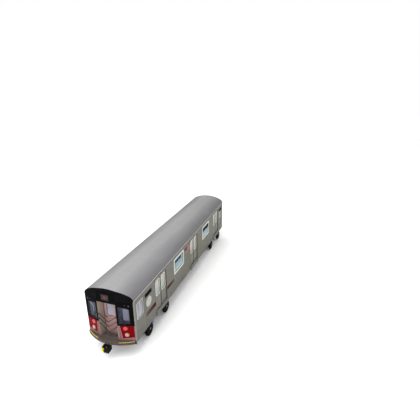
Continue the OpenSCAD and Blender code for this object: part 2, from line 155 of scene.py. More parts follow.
def box(bag, x0, x1, y0, y1, z0, z1, b=0.004):
    """A box with its edges chamfered all round."""
    b = min(b, (x1 - x0) / 2.2, (y1 - y0) / 2.2, (z1 - z0) / 2.2)
    V, F = [], []
    def ring(z, d):
        k = len(V)
        for x, y in ((x0 + d, y0 + b + d * 0), (x0 + b, y0 + d), (x1 - b, y0 + d), (x1 - d, y0 + b), (x1 - d, y1 - b), (x1 - b, y1 - d), (x0 + b, y1 - d), (x0 + d, y1 - b)):
            V.append((x, y, z))
        return list(range(k, k + 8))
    def ring2(z):
        k = len(V)
        for x, y in ((x0 + b, y0 + b), (x0 + b, y0 + b), (x1 - b, y0 + b), (x1 - b, y0 + b), (x1 - b, y1 - b), (x1 - b, y1 - b), (x0 + b, y1 - b), (x0 + b, y1 - b)):
            V.append((x, y, z))
        return list(range(k, k + 8))
    R = [ring2(z0), ring(z0 + b, 0), ring(z1 - b, 0), ring2(z1)]
    for a, c in zip(R[:-1], R[1:]):
        for i in range(8):
            j = (i + 1) % 8
            F.append((a[i], a[j], c[j], c[i]))
    F.append((R[0][7], R[0][5], R[0][3], R[0][1])); F.append((R[3][1], R[3][3], R[3][5], R[3][7]))
    # join the doubled corner points of the two flat ends
    m = {}
    for a in (R[0], R[3]):
        for i in (0, 2, 4, 6): m[a[i]] = a[(i + 1) % 8] if i else a[1]
    m = {R[k][i]: R[k][j] for k in (0, 3) for i, j in ((0, 1), (2, 3), (4, 5), (6, 7))}
    G = []
    for f in F:
        g = []
        for i in f:
            i = m.get(i, i)
            if not g or g[-1] != i: g.append(i)
        if len(g) > 1 and g[0] == g[-1]: g.pop()
        if len(set(g)) >= 3: G.append(tuple(g))
    used = sorted({i for f in G for i in f}); q = {i: k for k, i in enumerate(used)}
    bag.add([V[i] for i in used], [tuple(q[i] for i in f) for f in G])

def obox(bag, c, ux, uy, uz, sx, sy, sz, b=0.004):
    """A chamfered box of size sx, sy, sz about c, turned to the given axes."""
    tmp = Bag("t", None); box(tmp, -sx / 2, sx / 2, -sy / 2, sy / 2, -sz / 2, sz / 2, b)
    ux, uy, uz, c = Vector(ux).normalized(), Vector(uy).normalized(), Vector(uz).normalized(), Vector(c)
    bag.add([c + ux * p[0] + uy * p[1] + uz * p[2] for p in tmp.v], tmp.f)

def tube(bag, pts, r, n=10, closed=False):
    """A round bar along points."""
    P = [Vector(p) for p in pts]
    m = len(P); V, F, fr = [], [], None
    for i in range(m):
        if closed: d = P[(i + 1) % m] - P[i - 1]
        else: d = P[min(i + 1, m - 1)] - P[max(i - 1, 0)]
        d.normalize()
        if fr is None: fr = d.orthogonal().normalized()
        fr = (fr - d * fr.dot(d)).normalized(); s = d.cross(fr)
        for k in range(n):
            t = 2 * math.pi * k / n
            V.append(P[i] + (fr * math.cos(t) + s * math.sin(t)) * r)
    for i in range(m if closed else m - 1):
        a, b = i * n, ((i + 1) % m) * n
        for k in range(n):
            j = (k + 1) % n
            F.append((a + k, a + j, b + j, b + k))
    if not closed:
        F.append(tuple(range(n))[::-1]); F.append(tuple((m - 1) * n + k for k in range(n)))
    bag.add(V, F)

def bend(pts, r, n=5):
    """Rounds the corners of a polyline."""
    P = [Vector(p) for p in pts]; Q = [P[0]]
    for i in range(1, len(P) - 1):
        a, b, c = P[i - 1], P[i], P[i + 1]
        u, v = (a - b).normalized(), (c - b).normalized()
        d = min(r, (a - b).length * 0.48, (c - b).length * 0.48)
        p, q = b + u * d, b + v * d
        for k in range(n + 1):
            t = k / n
            Q.append(p * (1 - t) ** 2 + b * 2 * t * (1 - t) + q * t * t)
    Q.append(P[-1]); return Q

def bolt(bag, o, axis, r=0.012, h=0.009):
    """Hexagon bolt head on its washer."""
    lathe(bag, [(r * 1.45, 0), (r * 1.45, h * 0.2), (r * 1.35, h * 0.28)], o, axis, 16)
    o = Vector(o) + Vector(axis).normalized() * h * 0.26
    lathe(bag, [(r, 0), (r, h * 0.65), (r * 0.8, h * 0.8)], o, axis, 6)

def rivet(bag, o, axis, r=0.007, h=0.0035):
    lathe(bag, [(r, 0), (r * 0.86, h * 0.6), (r * 0.45, h)], o, axis, 8)

# ------------------------------------------------------------------ materials
class Mat:
    def __init__(s, name):
        s.m = bpy.data.materials.new(name); s.m.use_nodes = True
        s.t = s.m.node_tree; s.b = s.t.nodes["Principled BSDF"]
        tc = s.t.nodes.new("ShaderNodeTexCoord"); s.co = tc.outputs["Object"]
        s._xyz = None
    def node(s, kind, **kw):
        n = s.t.nodes.new(kind)
        for k, v in kw.items(): setattr(n, k, v)
        return n
    def link(s, a, b): s.t.links.new(a, b)
    def put(s, sock, v):
        if isinstance(v, (int, float)): sock.default_value = v
        elif isinstance(v, (tuple, list)): sock.default_value = tuple(v) + ((1,) if len(v) == 3 and len(sock.default_value) == 4 else ())
        else: s.link(v, sock)
    def xyz(s):
        if s._xyz is None:
            n = s.node("ShaderNodeSeparateXYZ"); s.link(s.co, n.inputs[0]); s._xyz = n.outputs
        return s._xyz
    def mth(s, op, a, b=0.0, c=0.0):
        n = s.node("ShaderNodeMath", operation=op)
        s.put(n.inputs[0], a); s.put(n.inputs[1], b)
        if len(n.inputs) > 2: s.put(n.inputs[2], c)
        return n.outputs[0]
    def noise(s, scale, stretch=(1, 1, 1), detail=3, rough=0.55, off=(0, 0, 0)):
        mp = s.node("ShaderNodeMapping"); mp.inputs["Scale"].default_value = stretch; mp.inputs["Location"].default_value = off
        s.link(s.co, mp.inputs[0])
        n = s.node("ShaderNodeTexNoise"); n.inputs["Scale"].default_value = scale; n.inputs["Detail"].default_value = detail; n.inputs["Roughness"].default_value = rough
        s.link(mp.outputs[0], n.inputs["Vector"]); return n.outputs["Fac"]
    def ramp(s, f, lo, hi, a=0.0, b=1.0):
        """Maps f from lo..hi to a..b, clamped."""
        n = s.node("ShaderNodeMapRange"); n.clamp = True
        s.put(n.inputs["Value"], f); n.inputs["From Min"].default_value = lo; n.inputs["From Max"].default_value = hi
        n.inputs["To Min"].default_value = a; n.inputs["To Max"].default_value = b
        return n.outputs[0]
    def mix(s, f, a, b, mode="MIX"):
        n = s.node("ShaderNodeMix", data_type="RGBA", blend_type=mode)
        s.put(n.inputs["Factor"], f); s.put(n.inputs[6], a); s.put(n.inputs[7], b)
        return n.outputs[2]
    def bump(s, h, dist=0.001, strength=1.0, nrm=None):
        n = s.node("ShaderNodeBump"); n.inputs["Strength"].default_value = strength; n.inputs["Distance"].default_value = dist
        s.link(h, n.inputs["Height"])
        if nrm is not None: s.link(nrm, n.inputs["Normal"])
        return n.outputs[0]
    def less(s, a, b): return s.mth("LESS_THAN", a, b)
    def more(s, a, b): return s.mth("GREATER_THAN", a, b)
    def both(s, *f):
        r = f[0]
        for g in f[1:]: r = s.mth("MULTIPLY", r, g)
        return r
    def set(s, col=None, rough=None, metal=None, normal=None, **kw):
        if col is not None: s.put(s.b.inputs["Base Color"], col)
        if rough is not None: s.put(s.b.inputs["Roughness"], rough)
        if metal is not None: s.put(s.b.inputs["Metallic"], metal)
        if normal is not None: s.link(normal, s.b.inputs["Normal"])
        for k, v in kw.items(): s.put(s.b.inputs[k], v)
        return s.m

def srgb(r, g, b):
    f = lambda c: ((c / 255) / 12.92) if c / 255 <= 0.04045 else (((c / 255) + 0.055) / 1.055) ** 2.4
    return (f(r), f(g), f(b))

def sh(c, k): return tuple(min(1.0, x * k) for x in c)

def grime(m, col, dirt=(0.035, 0.03, 0.025), z0=0.75, z1=1.9, amount=0.35, streak=0.18):
    """Brake dust that thickens towards the sill, and faint streaks running down."""
    z = m.xyz()[2]
    low = m.ramp(z, z0, z1, 1.0, 0.0)
    n = m.noise(2.2, (1, 1, 0.6), 5, 0.62)
    k = m.mth("MULTIPLY", m.mth("MULTIPLY", low, m.ramp(n, 0.32, 0.72)), amount)
    st = m.ramp(m.noise(7.0, (1, 1, 0.045), 4, 0.6, (3, 1, 0)), 0.50, 0.80, 0.0, streak)
    return m.mix(m.mth("ADD", k, st), col, dirt)

def steel(name, base, metal=0.55, rough=0.42, grain=(2.0, 2.0, 420.0), gdist=0.0004, amount=0.30, streak=0.14, mask=None):
    m = Mat(name)
    big = m.noise(0.9, (1, 1, 1.5), 3)
    fine = m.noise(1.0, grain, 2, 0.5)
    c = m.mix(m.ramp(big, 0.3, 0.7), sh(base, 0.90), sh(base, 1.10))
    c = m.mix(m.ramp(fine, 0.35, 0.65, 0.0, 0.35), c, sh(base, 0.80))
    c = grime(m, c, amount=amount, streak=streak)
    blot = m.noise(14, (1, 1, 0.5), 4)
    return m.set(c, m.ramp(m.mth("ADD", m.mth("MULTIPLY", blot, 0.6), m.mth("MULTIPLY", fine, 0.4)), 0.3, 0.7, rough - 0.07, rough + 0.10), metal, m.bump(fine, gdist))

def paint(name, base, rough=0.45, var=0.12, metal=0.0, peel=0.00025, chips=None, dust=None, coat=0.0, scale=3.0):
    m = Mat(name)
    c = m.mix(m.ramp(m.noise(scale, (1, 1, 1), 5), 0.3, 0.7), sh(base, 1 - var), sh(base, 1 + var))
    if dust is not None:
        c = m.mix(m.ramp(m.noise(scale * 3.1, (1, 1, 0.7), 6, 0.65, (2, 5, 1)), 0.52, 0.78, 0.0, 0.55), c, dust)
    r = m.ramp(m.noise(scale * 5, (1, 1, 1), 4), 0.3, 0.7, rough - 0.08, rough + 0.1)
    h = m.noise(260, (1, 1, 1), 2)
    if chips is not None:
        k = m.ramp(m.noise(scale * 9, (1, 1, 1), 6, 0.7, (8, 2, 4)), 0.665, 0.69)
        c = m.mix(k, c, chips); r = m.mth("ADD", r, m.mth("MULTIPLY", k, 0.12))
        return m.set(c, r, metal, m.bump(m.mth("SUBTRACT", m.mth("MULTIPLY", h, 0.3), k), 0.0006), **{"Coat Weight": coat})
    return m.set(c, r, metal, m.bump(h, peel), **{"Coat Weight": coat})

def casting(name, base, rough=0.62, dust=(0.06, 0.048, 0.038), metal=0.04):
    m = Mat(name)
    c = m.mix(m.ramp(m.noise(5, (1, 1, 1), 5), 0.3, 0.7), sh(base, 0.75), sh(base, 1.35))
    c = m.mix(m.ramp(m.noise(2.4, (1, 1, 1), 6, 0.65, (4, 0, 7)), 0.45, 0.75, 0.0, 0.55), c, dust)
    g = m.noise(150, (1, 1, 1), 4, 0.7)
    return m.set(c, m.ramp(m.noise(22, (1, 1, 1), 4), 0.3, 0.7, rough - 0.12, rough + 0.14), metal, m.bump(g, 0.0012), **{"Specular IOR Level": 0.10})

def rubber(name, base=(0.018, 0.018, 0.02), rough=0.6):
    m = Mat(name)
    c = m.mix(m.ramp(m.noise(9, (1, 1, 1), 4), 0.3, 0.7), sh(base, 0.8), sh(base, 1.5))
    return m.set(c, m.ramp(m.noise(30, (1, 1, 1), 4), 0.3, 0.7, rough - 0.1, rough + 0.12), 0.0, m.bump(m.noise(320, (1, 1, 1), 3), 0.0003))

def glassy(name, tint, alpha=0.6, rough=0.06, tint2=None):
    m = Mat(name)
    z = m.xyz()[2]
    n = m.noise(2.4, (1, 1, 1), 4)
    c = m.mix(m.ramp(n, 0.3, 0.7), sh(tint, 0.9), sh(tint, 1.1)) if tint2 is None else m.mix(m.ramp(m.mth("ADD", m.ramp(z, 2.0, 2.9), m.mth("MULTIPLY", m.mth("SUBTRACT", n, 0.5), 0.8)), 0.2, 0.8), tint, tint2)
    film = m.ramp(m.noise(6, (1, 1, 0.3), 5, 0.6, (9, 0, 2)), 0.45, 0.8, 0.0, 0.10)
    m.set(c, m.ramp(m.noise(18, (1, 1, 0.4), 5), 0.3, 0.75, rough, rough + 0.10), 0.0, None, **{"Specular IOR Level": 0.6})
    m.put(m.b.inputs["Alpha"], m.mth("MINIMUM", m.mth("ADD", film, alpha), 1.0))
    return m.m


# ------------------------------------------------------------------ finishes
STEEL = srgb(120, 118, 112)
# the cab front's steel tone carries a pink tint that is a painted reflection of red light
PINK_REFLECTION_ON_STEEL = srgb(133, 106, 106)
CREAM = srgb(208, 206, 192)
LINING = srgb(205, 202, 190)

def body_steel(name, lining_y=1.2105, stripes=True):
    m = Mat(name)
    x, y, z = m.xyz()
    ay = m.mth("ABSOLUTE", y)
    big = m.noise(0.8, (1, 1, 1.4), 3)
    pan = m.noise(0.42, (1.5, 1, 0.02), 1, 0.4, (4, 0, 0))
    fine = m.noise(1.0, (2.0, 2.0, 420.0), 2, 0.5)
    c = m.mix(m.ramp(big, 0.3, 0.7), sh(STEEL, 0.92), sh(STEEL, 1.07))
    c = m.mix(m.ramp(x, 5.0, 1.0, 0.0, 0.9), c, m.mix(m.ramp(big, 0.3, 0.7), sh(srgb(114, 115, 99), 0.94), sh(srgb(114, 115, 99), 1.06)))
    c = m.mix(m.ramp(pan, 0.4, 0.6, 0.0, 0.5), c, srgb(122, 121, 120))
    c = m.mix(m.ramp(fine, 0.35, 0.65, 0.0, 0.3), c, sh(STEEL, 0.82))
    sm = 0.0
    if stripes:
        for x0, x1, z0, z1 in ((5.335, 6.42, 1.545, 1.785), (3.955, 2.93, 1.585, 1.785)):
            lo, hi = min(x0, x1), max(x0, x1)
            inside = m.both(m.more(x, lo - 0.001), m.less(x, hi), m.more(z, z0), m.less(z, z1), m.more(ay, 1.305))
            f = m.mth("POWER", m.ramp(x, x1, x0) if x1 < x0 else m.mth("SUBTRACT", 1.0, m.ramp(x, x0, x1)), 0.24)
            k = m.mth("MULTIPLY", m.mth("MULTIPLY", inside, f), 0.995)
            c = m.mix(k, c, srgb(72, 0, 8)); sm = m.mth("ADD", sm, k)
    c = grime(m, c, (0.045, 0.04, 0.033), 0.85, 1.7, 0.42, 0.10)
    # flush screw heads along each door's sill plate, on one pitch that fits all three doors
    fx = m.mth("MULTIPLY", m.mth("SUBTRACT", m.mth("FRACT", m.mth("ADD", m.mth("DIVIDE", m.mth("SUBTRACT", x, 4.64), 0.1213095), 30.5)), 0.5), 0.1213095)
    fz = m.mth("MINIMUM", m.mth("ABSOLUTE", m.mth("SUBTRACT", z, 1.02)), m.mth("ABSOLUTE", m.mth("SUBTRACT", z, 0.90)))
    rad = m.mth("SQRT", m.mth("ADD", m.mth("MULTIPLY", fx, fx), m.mth("MULTIPLY", fz, fz)))
    plate_ = m.more(ay, 1.3475)
    c = m.mix(m.both(plate_, m.less(rad, 0.0125)), c, srgb(60, 58, 54))
    c = m.mix(m.both(plate_, m.less(rad, 0.0095)), c, srgb(196, 194, 188))
    inner = m.both(m.less(ay, lining_y), m.more(x, -7.405))
    c = m.mix(inner, c, LINING)
    blot = m.noise(12, (1, 1, 0.5), 4)
    r = m.ramp(m.mth("ADD", m.mth("MULTIPLY", blot, 0.6), m.mth("MULTIPLY", fine, 0.4)), 0.3, 0.7, 0.36, 0.52)
    return m.set(c, r, m.mth("MULTIPLY", m.mth("SUBTRACT", m.mth("SUBTRACT", 1.0, inner), sm), 0.2), m.bump(fine, 0.0004), **{"Specular IOR Level": m.mth("SUBTRACT", 0.28, m.mth("MULTIPLY", sm, 0.25))})

def front_mat():
    m = Mat("CabFrontSkin")
    x, y, z = m.xyz(); ay = m.mth("ABSOLUTE", y)
    big = m.noise(1.6, (1, 1, 0.8), 4); fine = m.noise(1.0, (2.0, 2.0, 380.0), 2, 0.5)
    # steel tone of the cab front with its painted pink reflection of red light
    c = m.mix(m.ramp(big, 0.3, 0.7), sh(PINK_REFLECTION_ON_STEEL, 0.92), sh(PINK_REFLECTION_ON_STEEL, 1.08))
    c = m.mix(m.ramp(fine, 0.35, 0.65, 0.0, 0.3), c, sh(PINK_REFLECTION_ON_STEEL, 0.82))
    # inside the recess the pink gives way to a paler khaki, which stands for the other light on its side walls: painted
    # shading, not a different steel
    edge = m.mth("ADD", m.mth("MULTIPLY", m.mth("SUBTRACT", x, 7.47), 0.46667), 0.3745)
    recess_painted_shading = m.both(m.less(ay, edge), m.more(x, 7.39), m.less(z, 3.034))
    c = m.mix(recess_painted_shading, c, m.mix(m.ramp(big, 0.3, 0.7), srgb(150, 138, 127), srgb(166, 153, 142)))
    side = m.both(m.more(ay, 1.3085), m.less(x, 7.522))
    c = m.mix(side, c, m.mix(m.ramp(big, 0.3, 0.7), srgb(140, 138, 135), srgb(152, 149, 144)))
    c = grime(m, c, (0.05, 0.04, 0.035), 0.85, 1.6, 0.35, 0.10)
    foot = m.both(m.less(z, 1.083), m.less(ay, 0.52), m.more(x, 7.3))
    c = m.mix(foot, c, m.mix(m.ramp(m.noise(30, (1, 1, 1), 4), 0.4, 0.6), srgb(84, 76, 72), srgb(100, 91, 86)))
    deep = m.mth("SUBTRACT", m.mth("SUBTRACT", 7.75, m.mth("MULTIPLY", m.mth("MAXIMUM", m.mth("SUBTRACT", ay, 0.48), 0.0), 0.2771)), x)
    inner = m.both(m.more(deep, 0.012), m.less(ay, 1.245), m.more(z, 1.08), m.mth("SUBTRACT", 1.0, recess_painted_shading))
    c = m.mix(inner, c, srgb(58, 60, 62))
    black = m.both(m.more(z, 1.868), m.mth("SUBTRACT", 1.0, recess_painted_shading), m.mth("MAXIMUM", m.mth("MAXIMUM", m.more(x, 7.5205), m.more(z, 3.192)), m.both(m.more(x, 7.43), m.less(ay, 1.2))))
    c = m.mix(black, c, m.mix(m.ramp(m.noise(4, (1, 1, 1), 4), 0.3, 0.7), (0.006, 0.006, 0.007), (0.011, 0.011, 0.012)))
    r = m.ramp(m.noise(11, (1, 1, 0.6), 4), 0.3, 0.7, 0.40, 0.55)
    m.put(m.b.inputs["Specular IOR Level"], m.mth("SUBTRACT", 0.35, m.mth("MULTIPLY", black, 0.338)))
    met = m.mth("MULTIPLY", m.mth("SUBTRACT", 1.0, m.mth("MAXIMUM", m.mth("MAXIMUM", black, foot), inner)), 0.4)
    return m.set(c, r, met, m.bump(fine, 0.0003))

def roof_mat():
    m = Mat("RoofPaint")
    x, y, z = m.xyz(); ay = m.mth("ABSOLUTE", y)
    big = m.noise(0.7, (0.5, 1, 1), 4)
    # the crown is painted paler and the sides towards the eaves darker: painted light from above and painted shade on
    # the sloping sides
    top, low = srgb(150, 150, 150), srgb(121, 120, 122)
    c = m.mix(m.ramp(m.mth("ADD", ay, m.mth("MULTIPLY", m.mth("SUBTRACT", big, 0.5), 0.5)), 0.35, 1.15), top, low)
    c = m.mix(m.ramp(m.noise(9, (1, 0.25, 1), 6, 0.65), 0.45, 0.8, 0.0, 0.12), c, srgb(100, 98, 100))
    c = m.mix(m.ramp(m.noise(26, (1, 0.12, 1), 3, 0.6, (5, 5, 5)), 0.55, 0.85, 0.0, 0.08), c, srgb(168, 168, 168))
    g = m.node("ShaderNodeNewGeometry"); sp = m.node("ShaderNodeSeparateXYZ"); m.link(g.outputs["Normal"], sp.inputs[0])
    d = m.mth("ADD", m.mth("MULTIPLY", y, sp.outputs[1]), m.mth("MULTIPLY", m.mth("SUBTRACT", z, 2.0), sp.outputs[2]))
    inside = m.less(d, -0.05)
    c = m.mix(inside, c, srgb(214, 212, 204))
    return m.set(c, m.ramp(big, 0.3, 0.7, 0.50, 0.66), 0.05, m.bump(m.noise(70, (1, 1, 1), 4), 0.0006), **{"Specular IOR Level": 0.3})

def floor_and_frame():
    m = Mat("UnderframePaint")
    x, y, z = m.xyz()
    c = m.mix(m.ramp(m.noise(3, (1, 1, 1), 5), 0.3, 0.7), (0.018, 0.017, 0.016), (0.04, 0.036, 0.032))
    top = m.more(z, 1.0985)
    sp = m.node("ShaderNodeTexVoronoi"); sp.inputs["Scale"].default_value = 90; m.link(m.co, sp.inputs["Vector"])
    fl = m.mix(m.ramp(sp.outputs["Distance"], 0.12, 0.2), srgb(150, 148, 140), srgb(70, 70, 72))
    c = m.mix(top, c, fl)
    return m.set(c, m.ramp(m.noise(20, (1, 1, 1), 4), 0.3, 0.7, 0.5, 0.72), 0.05, m.bump(m.noise(120, (1, 1, 1), 4), 0.0008))

M_SIDE = body_steel("BodySteel")
M_REAR = body_steel("RearEndSteel", 0.0, False)
M_DOOR = steel("DoorSteel", srgb(126, 124, 116), 0.22, 0.40, amount=0.30, streak=0.08)
M_TRIM = steel("BrightTrim", srgb(205, 203, 196), 0.75, 0.28, (2, 2, 300), 0.0002, 0.2, 0.06)
M_SEAM = steel("SeamStrip", srgb(122, 120, 112), 0.25, 0.42, (2, 300, 2), 0.0002, 0.35, 0.10)
M_CREAM = paint("CreamFrame", CREAM, 0.38, 0.05, dust=srgb(150, 146, 130), scale=5)
M_DISC = paint("PaleDisc", srgb(178, 177, 167), 0.46, 0.05, dust=srgb(166, 163, 150), scale=5)
M_GASKET = rubber("Gasket")
M_RAIL = paint("RailPaint", srgb(206, 203, 204), 0.4, 0.05, dust=srgb(170, 166, 160), scale=5)
M_BLACK = paint("MaskBlack", (0.0060, 0.0060, 0.0068), 0.38, 0.25, dust=(0.012, 0.012, 0.012), scale=3)
M_BLACK.node_tree.nodes["Principled BSDF"].inputs["Specular IOR Level"].default_value = 0.012
M_RED = paint("PanelRed", srgb(116, 0, 6), 0.36, 0.12, dust=srgb(104, 2, 8), scale=4)
M_RED.node_tree.nodes["Principled BSDF"].inputs["Specular IOR Level"].default_value = 0.05
M_BUMP = paint("BumperPaint", srgb(96, 88, 84), 0.55, 0.16, 0.1, chips=srgb(120, 112, 108), dust=srgb(60, 48, 44), scale=5)
M_YEL = paint("EdgeYellow", srgb(206, 196, 84), 0.5, 0.12, chips=srgb(70, 62, 40), dust=srgb(128, 112, 40), scale=7)
M_HORN = paint("HornYellow", srgb(206, 200, 12), 0.45, 0.12, chips=(0.05, 0.04, 0.03), scale=9)
M_IRON = casting("BogieIron", (0.0060, 0.0057, 0.0054), 0.62, (0.018, 0.015, 0.0125))
M_COUP = casting("CouplerIron", (0.0062, 0.0062, 0.0064), 0.5, (0.015, 0.013, 0.011))
M_CASE = paint("CasePaint", srgb(74, 74, 72), 0.6, 0.16, 0.05, dust=srgb(58, 48, 40), scale=3)
M_RUB = rubber("SpringRubber", (0.014, 0.014, 0.015), 0.62)
M_SIGN = paint("SignBlack", (0.0018, 0.0018, 0.0021), 0.42, 0.3, dust=(0.004, 0.004, 0.004), scale=6)
M_SIGN.node_tree.nodes["Principled BSDF"].inputs["Specular IOR Level"].default_value = 0.015
M_LIN = paint("LiningPanel", LINING, 0.42, 0.04, dust=srgb(170, 165, 150), scale=2)
M_DESK = paint("DeskPaint", (0.022, 0.025, 0.028), 0.5, 0.15, scale=6)
M_ORANGE = paint("SeatPlastic", srgb(196, 84, 30), 0.36, 0.08, dust=srgb(150, 74, 40), coat=0.2, scale=3)
M_POLE = steel("PoleSteel", srgb(214, 214, 212), 0.9, 0.18, (2, 2, 90), 0.0001, 0.05, 0.02)
M_GLASS = glassy("SideGlass", srgb(196, 214, 226), 0.62, 0.05, srgb(150, 190, 214))
M_CABGL = glassy("CabSideGlass", srgb(150, 150, 156), 0.80, 0.08, srgb(132, 132, 138))
M_DOORGL = glassy("DoorGlass", srgb(164, 176, 176), 0.80, 0.06, srgb(196, 196, 184))
M_SCREEN = glassy("WindscreenGlass", srgb(66, 78, 106), 0.72, 0.04, srgb(88, 96, 124))
M_ENDGL = glassy("EndDoorGlass", srgb(156, 154, 164), 0.88, 0.10, srgb(140, 139, 149))
M_AXLE = casting("AxleSteel", (0.05, 0.046, 0.042), 0.5, (0.07, 0.05, 0.035), 0.55)
M_CAP = steel("CapSteel", srgb(128, 128, 126), 0.5, 0.45, (20, 20, 20), 0.0003, 0.2, 0.1)
M_BLUE = paint("DamperBlue", srgb(28, 138, 214), 0.35, 0.10, dust=srgb(20, 84, 128), coat=0.3, scale=9)
# steel trim on the front, tinted with the same painted pink reflection of red light
M_TRIM_PINK_REFLECTION = steel("PinkTrim", srgb(160, 131, 129), 0.3, 0.36, (2, 2, 260), 0.0002, 0.15, 0.05)

def wheel_mat(i, xa):
    m = Mat("WheelSteel_%d" % i)
    x, y, z = m.xyz()
    dx, dz = m.mth("SUBTRACT", x, xa), m.mth("SUBTRACT", z, AXZ)
    r = m.mth("SQRT", m.mth("ADD", m.mth("MULTIPLY", dx, dx), m.mth("MULTIPLY", dz, dz)))
    n = m.noise(9, (1, 1, 1), 5, 0.62)
    c = m.mix(m.ramp(n, 0.3, 0.7), (0.016, 0.015, 0.014), (0.05, 0.04, 0.032))
    tread = m.ramp(m.mth("ADD", r, m.mth("MULTIPLY", m.mth("SUBTRACT", n, 0.5), 0.006)), 0.4235, 0.4265)
    c = m.mix(tread, c, (0.34, 0.33, 0.32))
    ring = m.noise(1.0, (1, 60, 1), 2)
    return m.set(c, m.ramp(m.mth("ADD", m.mth("MULTIPLY", tread, -0.3), n), 0.0, 0.8, 0.25, 0.7), m.mth("ADD", m.mth("MULTIPLY", tread, 0.7), 0.15), m.bump(m.mth("ADD", ring, n), 0.0008))

def lens_mat(name, low, high):
    m = Mat(name)
    n = m.noise(60, (1, 1, 1), 2)
    c = m.mix(m.ramp(n, 0.3, 0.7), low, high)
    return m.set(c, 0.18, 0.0, m.bump(m.noise(180, (1, 1, 1), 1), 0.0012), **{"Coat Weight": 0.25, "Emission Color": tuple(high) + (1,), "Emission Strength": 0.05})
M_LRED = lens_mat("LensRed", srgb(168, 46, 50), srgb(186, 68, 70))
M_RINGR = paint("RingRed", srgb(176, 84, 86), 0.4, 0.1, dust=srgb(120, 50, 52), scale=9)
M_LWHITE = lens_mat("LensWhite", srgb(172, 122, 118), srgb(186, 144, 140))
M_SMOKE = lens_mat("LensSmoke", srgb(70, 60, 62), srgb(104, 92, 92))
def lamp_body_mat():
    m = Mat("LampBody")
    z = m.xyz()[2]
    c = m.mix(m.more(z, 1.54), srgb(214, 170, 166), srgb(206, 60, 64))
    c = m.mix(m.ramp(m.noise(40, (1, 1, 1), 3), 0.3, 0.7, 0.0, 0.3), c, srgb(120, 60, 60))
    return m.set(c, 0.3, 0.0, m.bump(m.noise(120, (1, 1, 1), 2), 0.0006))

def set_mat(node, m):
    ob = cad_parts[node]
    if not ob.data.materials: ob.data.materials.append(m)
    for k in range(len(ob.data.materials)): ob.data.materials[k] = m

def screen_mat():
    """Dark slate glass with a paler patch painted where the lit cab side window shows through it: painted light."""
    m = Mat("WindscreenTint")
    x, y, z = m.xyz()
    n = m.noise(3, (1, 1, 1), 4)
    dark = m.mix(m.ramp(m.mth("ADD", m.ramp(z, 2.0, 2.9), m.mth("MULTIPLY", n, 0.4)), 0.3, 1.1), srgb(39, 42, 57), srgb(54, 59, 78))
    # paler patch on the +Y windscreen where the lit cab side window shows through: painted light
    lo = m.mth("ADD", 2.17, m.mth("MULTIPLY", m.mth("SUBTRACT", y, 0.82), -0.10))
    side_window_painted_light = m.both(m.ramp(y, 0.800, 0.822), m.ramp(m.mth("SUBTRACT", z, lo), 0.0, 0.03), m.ramp(z, 2.865, 2.85))
    c = m.mix(m.mth("MULTIPLY", side_window_painted_light, 0.92), dark, m.mix(m.ramp(z, 2.2, 2.85), srgb(104, 105, 119), srgb(118, 119, 131)))
    # pale arc on the -Y windscreen: a painted reflection
    reflection_arc_dist = m.mth("ABSOLUTE", m.mth("SUBTRACT", m.mth("SQRT", m.mth("ADD", m.mth("POWER", m.mth("ADD", y, 1.08), 2.0), m.mth("POWER", m.mth("SUBTRACT", z, 2.46), 2.0))), 0.30))
    arc = m.both(m.less(y, -0.55), m.ramp(reflection_arc_dist, 0.035, 0.015), m.more(y, -1.02), m.more(z, 2.35))
    c = m.mix(m.mth("MULTIPLY", arc, 0.65), c, srgb(150, 160, 176))
    m.set(c, m.ramp(m.noise(18, (1, 1, 0.4), 5), 0.3, 0.75, 0.06, 0.16), 0.0, None, **{"Specular IOR Level": 0.35})
    m.put(m.b.inputs["Alpha"], m.mth("ADD", 0.86, m.mth("MULTIPLY", side_window_painted_light, 0.08)))
    return m.m
CAD_MATS = {"underframe": floor_and_frame(), "side_wall_left": M_SIDE, "side_wall_right": M_SIDE, "roof": roof_mat(), "cab_front": front_mat(),
    "rear_end": M_REAR, "side_glass": M_GLASS, "windscreens": screen_mat(), "anticlimbers": M_BUMP, "bench_seats": M_ORANGE, "grab_poles": M_POLE,
    "cab_partition": M_LIN, "cab_desk": M_DESK, "cab_seat": M_DESK, "underfloor_equipment": M_CASE, "destination_signs": M_SIGN, "headlamps": lamp_body_mat(),
    # the front end door's pink tint is a painted reflection of red light on its steel
    "front_coupler": M_COUP, "coupler_horn": M_HORN, "rear_drawbar": M_COUP, "front_end_door": steel("EndDoorSteel", srgb(152, 122, 121), 0.25, 0.42, amount=0.2, streak=0.1),
    "rear_end_door": M_DOOR}
for e in ("front", "rear"):
    for n, mm in (("bogie_frame", M_IRON), ("traction_motors", M_IRON), ("journal_boxes", M_IRON), ("air_springs", M_RUB)):
        CAD_MATS[n + "_" + e] = mm
AX = (FX + WB, FX - WB, RX + WB, RX - WB)
for i, xa in enumerate(AX):
    CAD_MATS["wheels_%d" % (i + 1)] = wheel_mat(i + 1, xa); CAD_MATS["axle_%d" % (i + 1)] = M_AXLE
for sd in ("left", "right"):
    for k in (1, 2, 3):
        for w in ("front", "rear"): CAD_MATS["door_%s_%d_%s" % (sd, k, w)] = M_DOOR
for n, mm in CAD_MATS.items(): set_mat(n, mm)

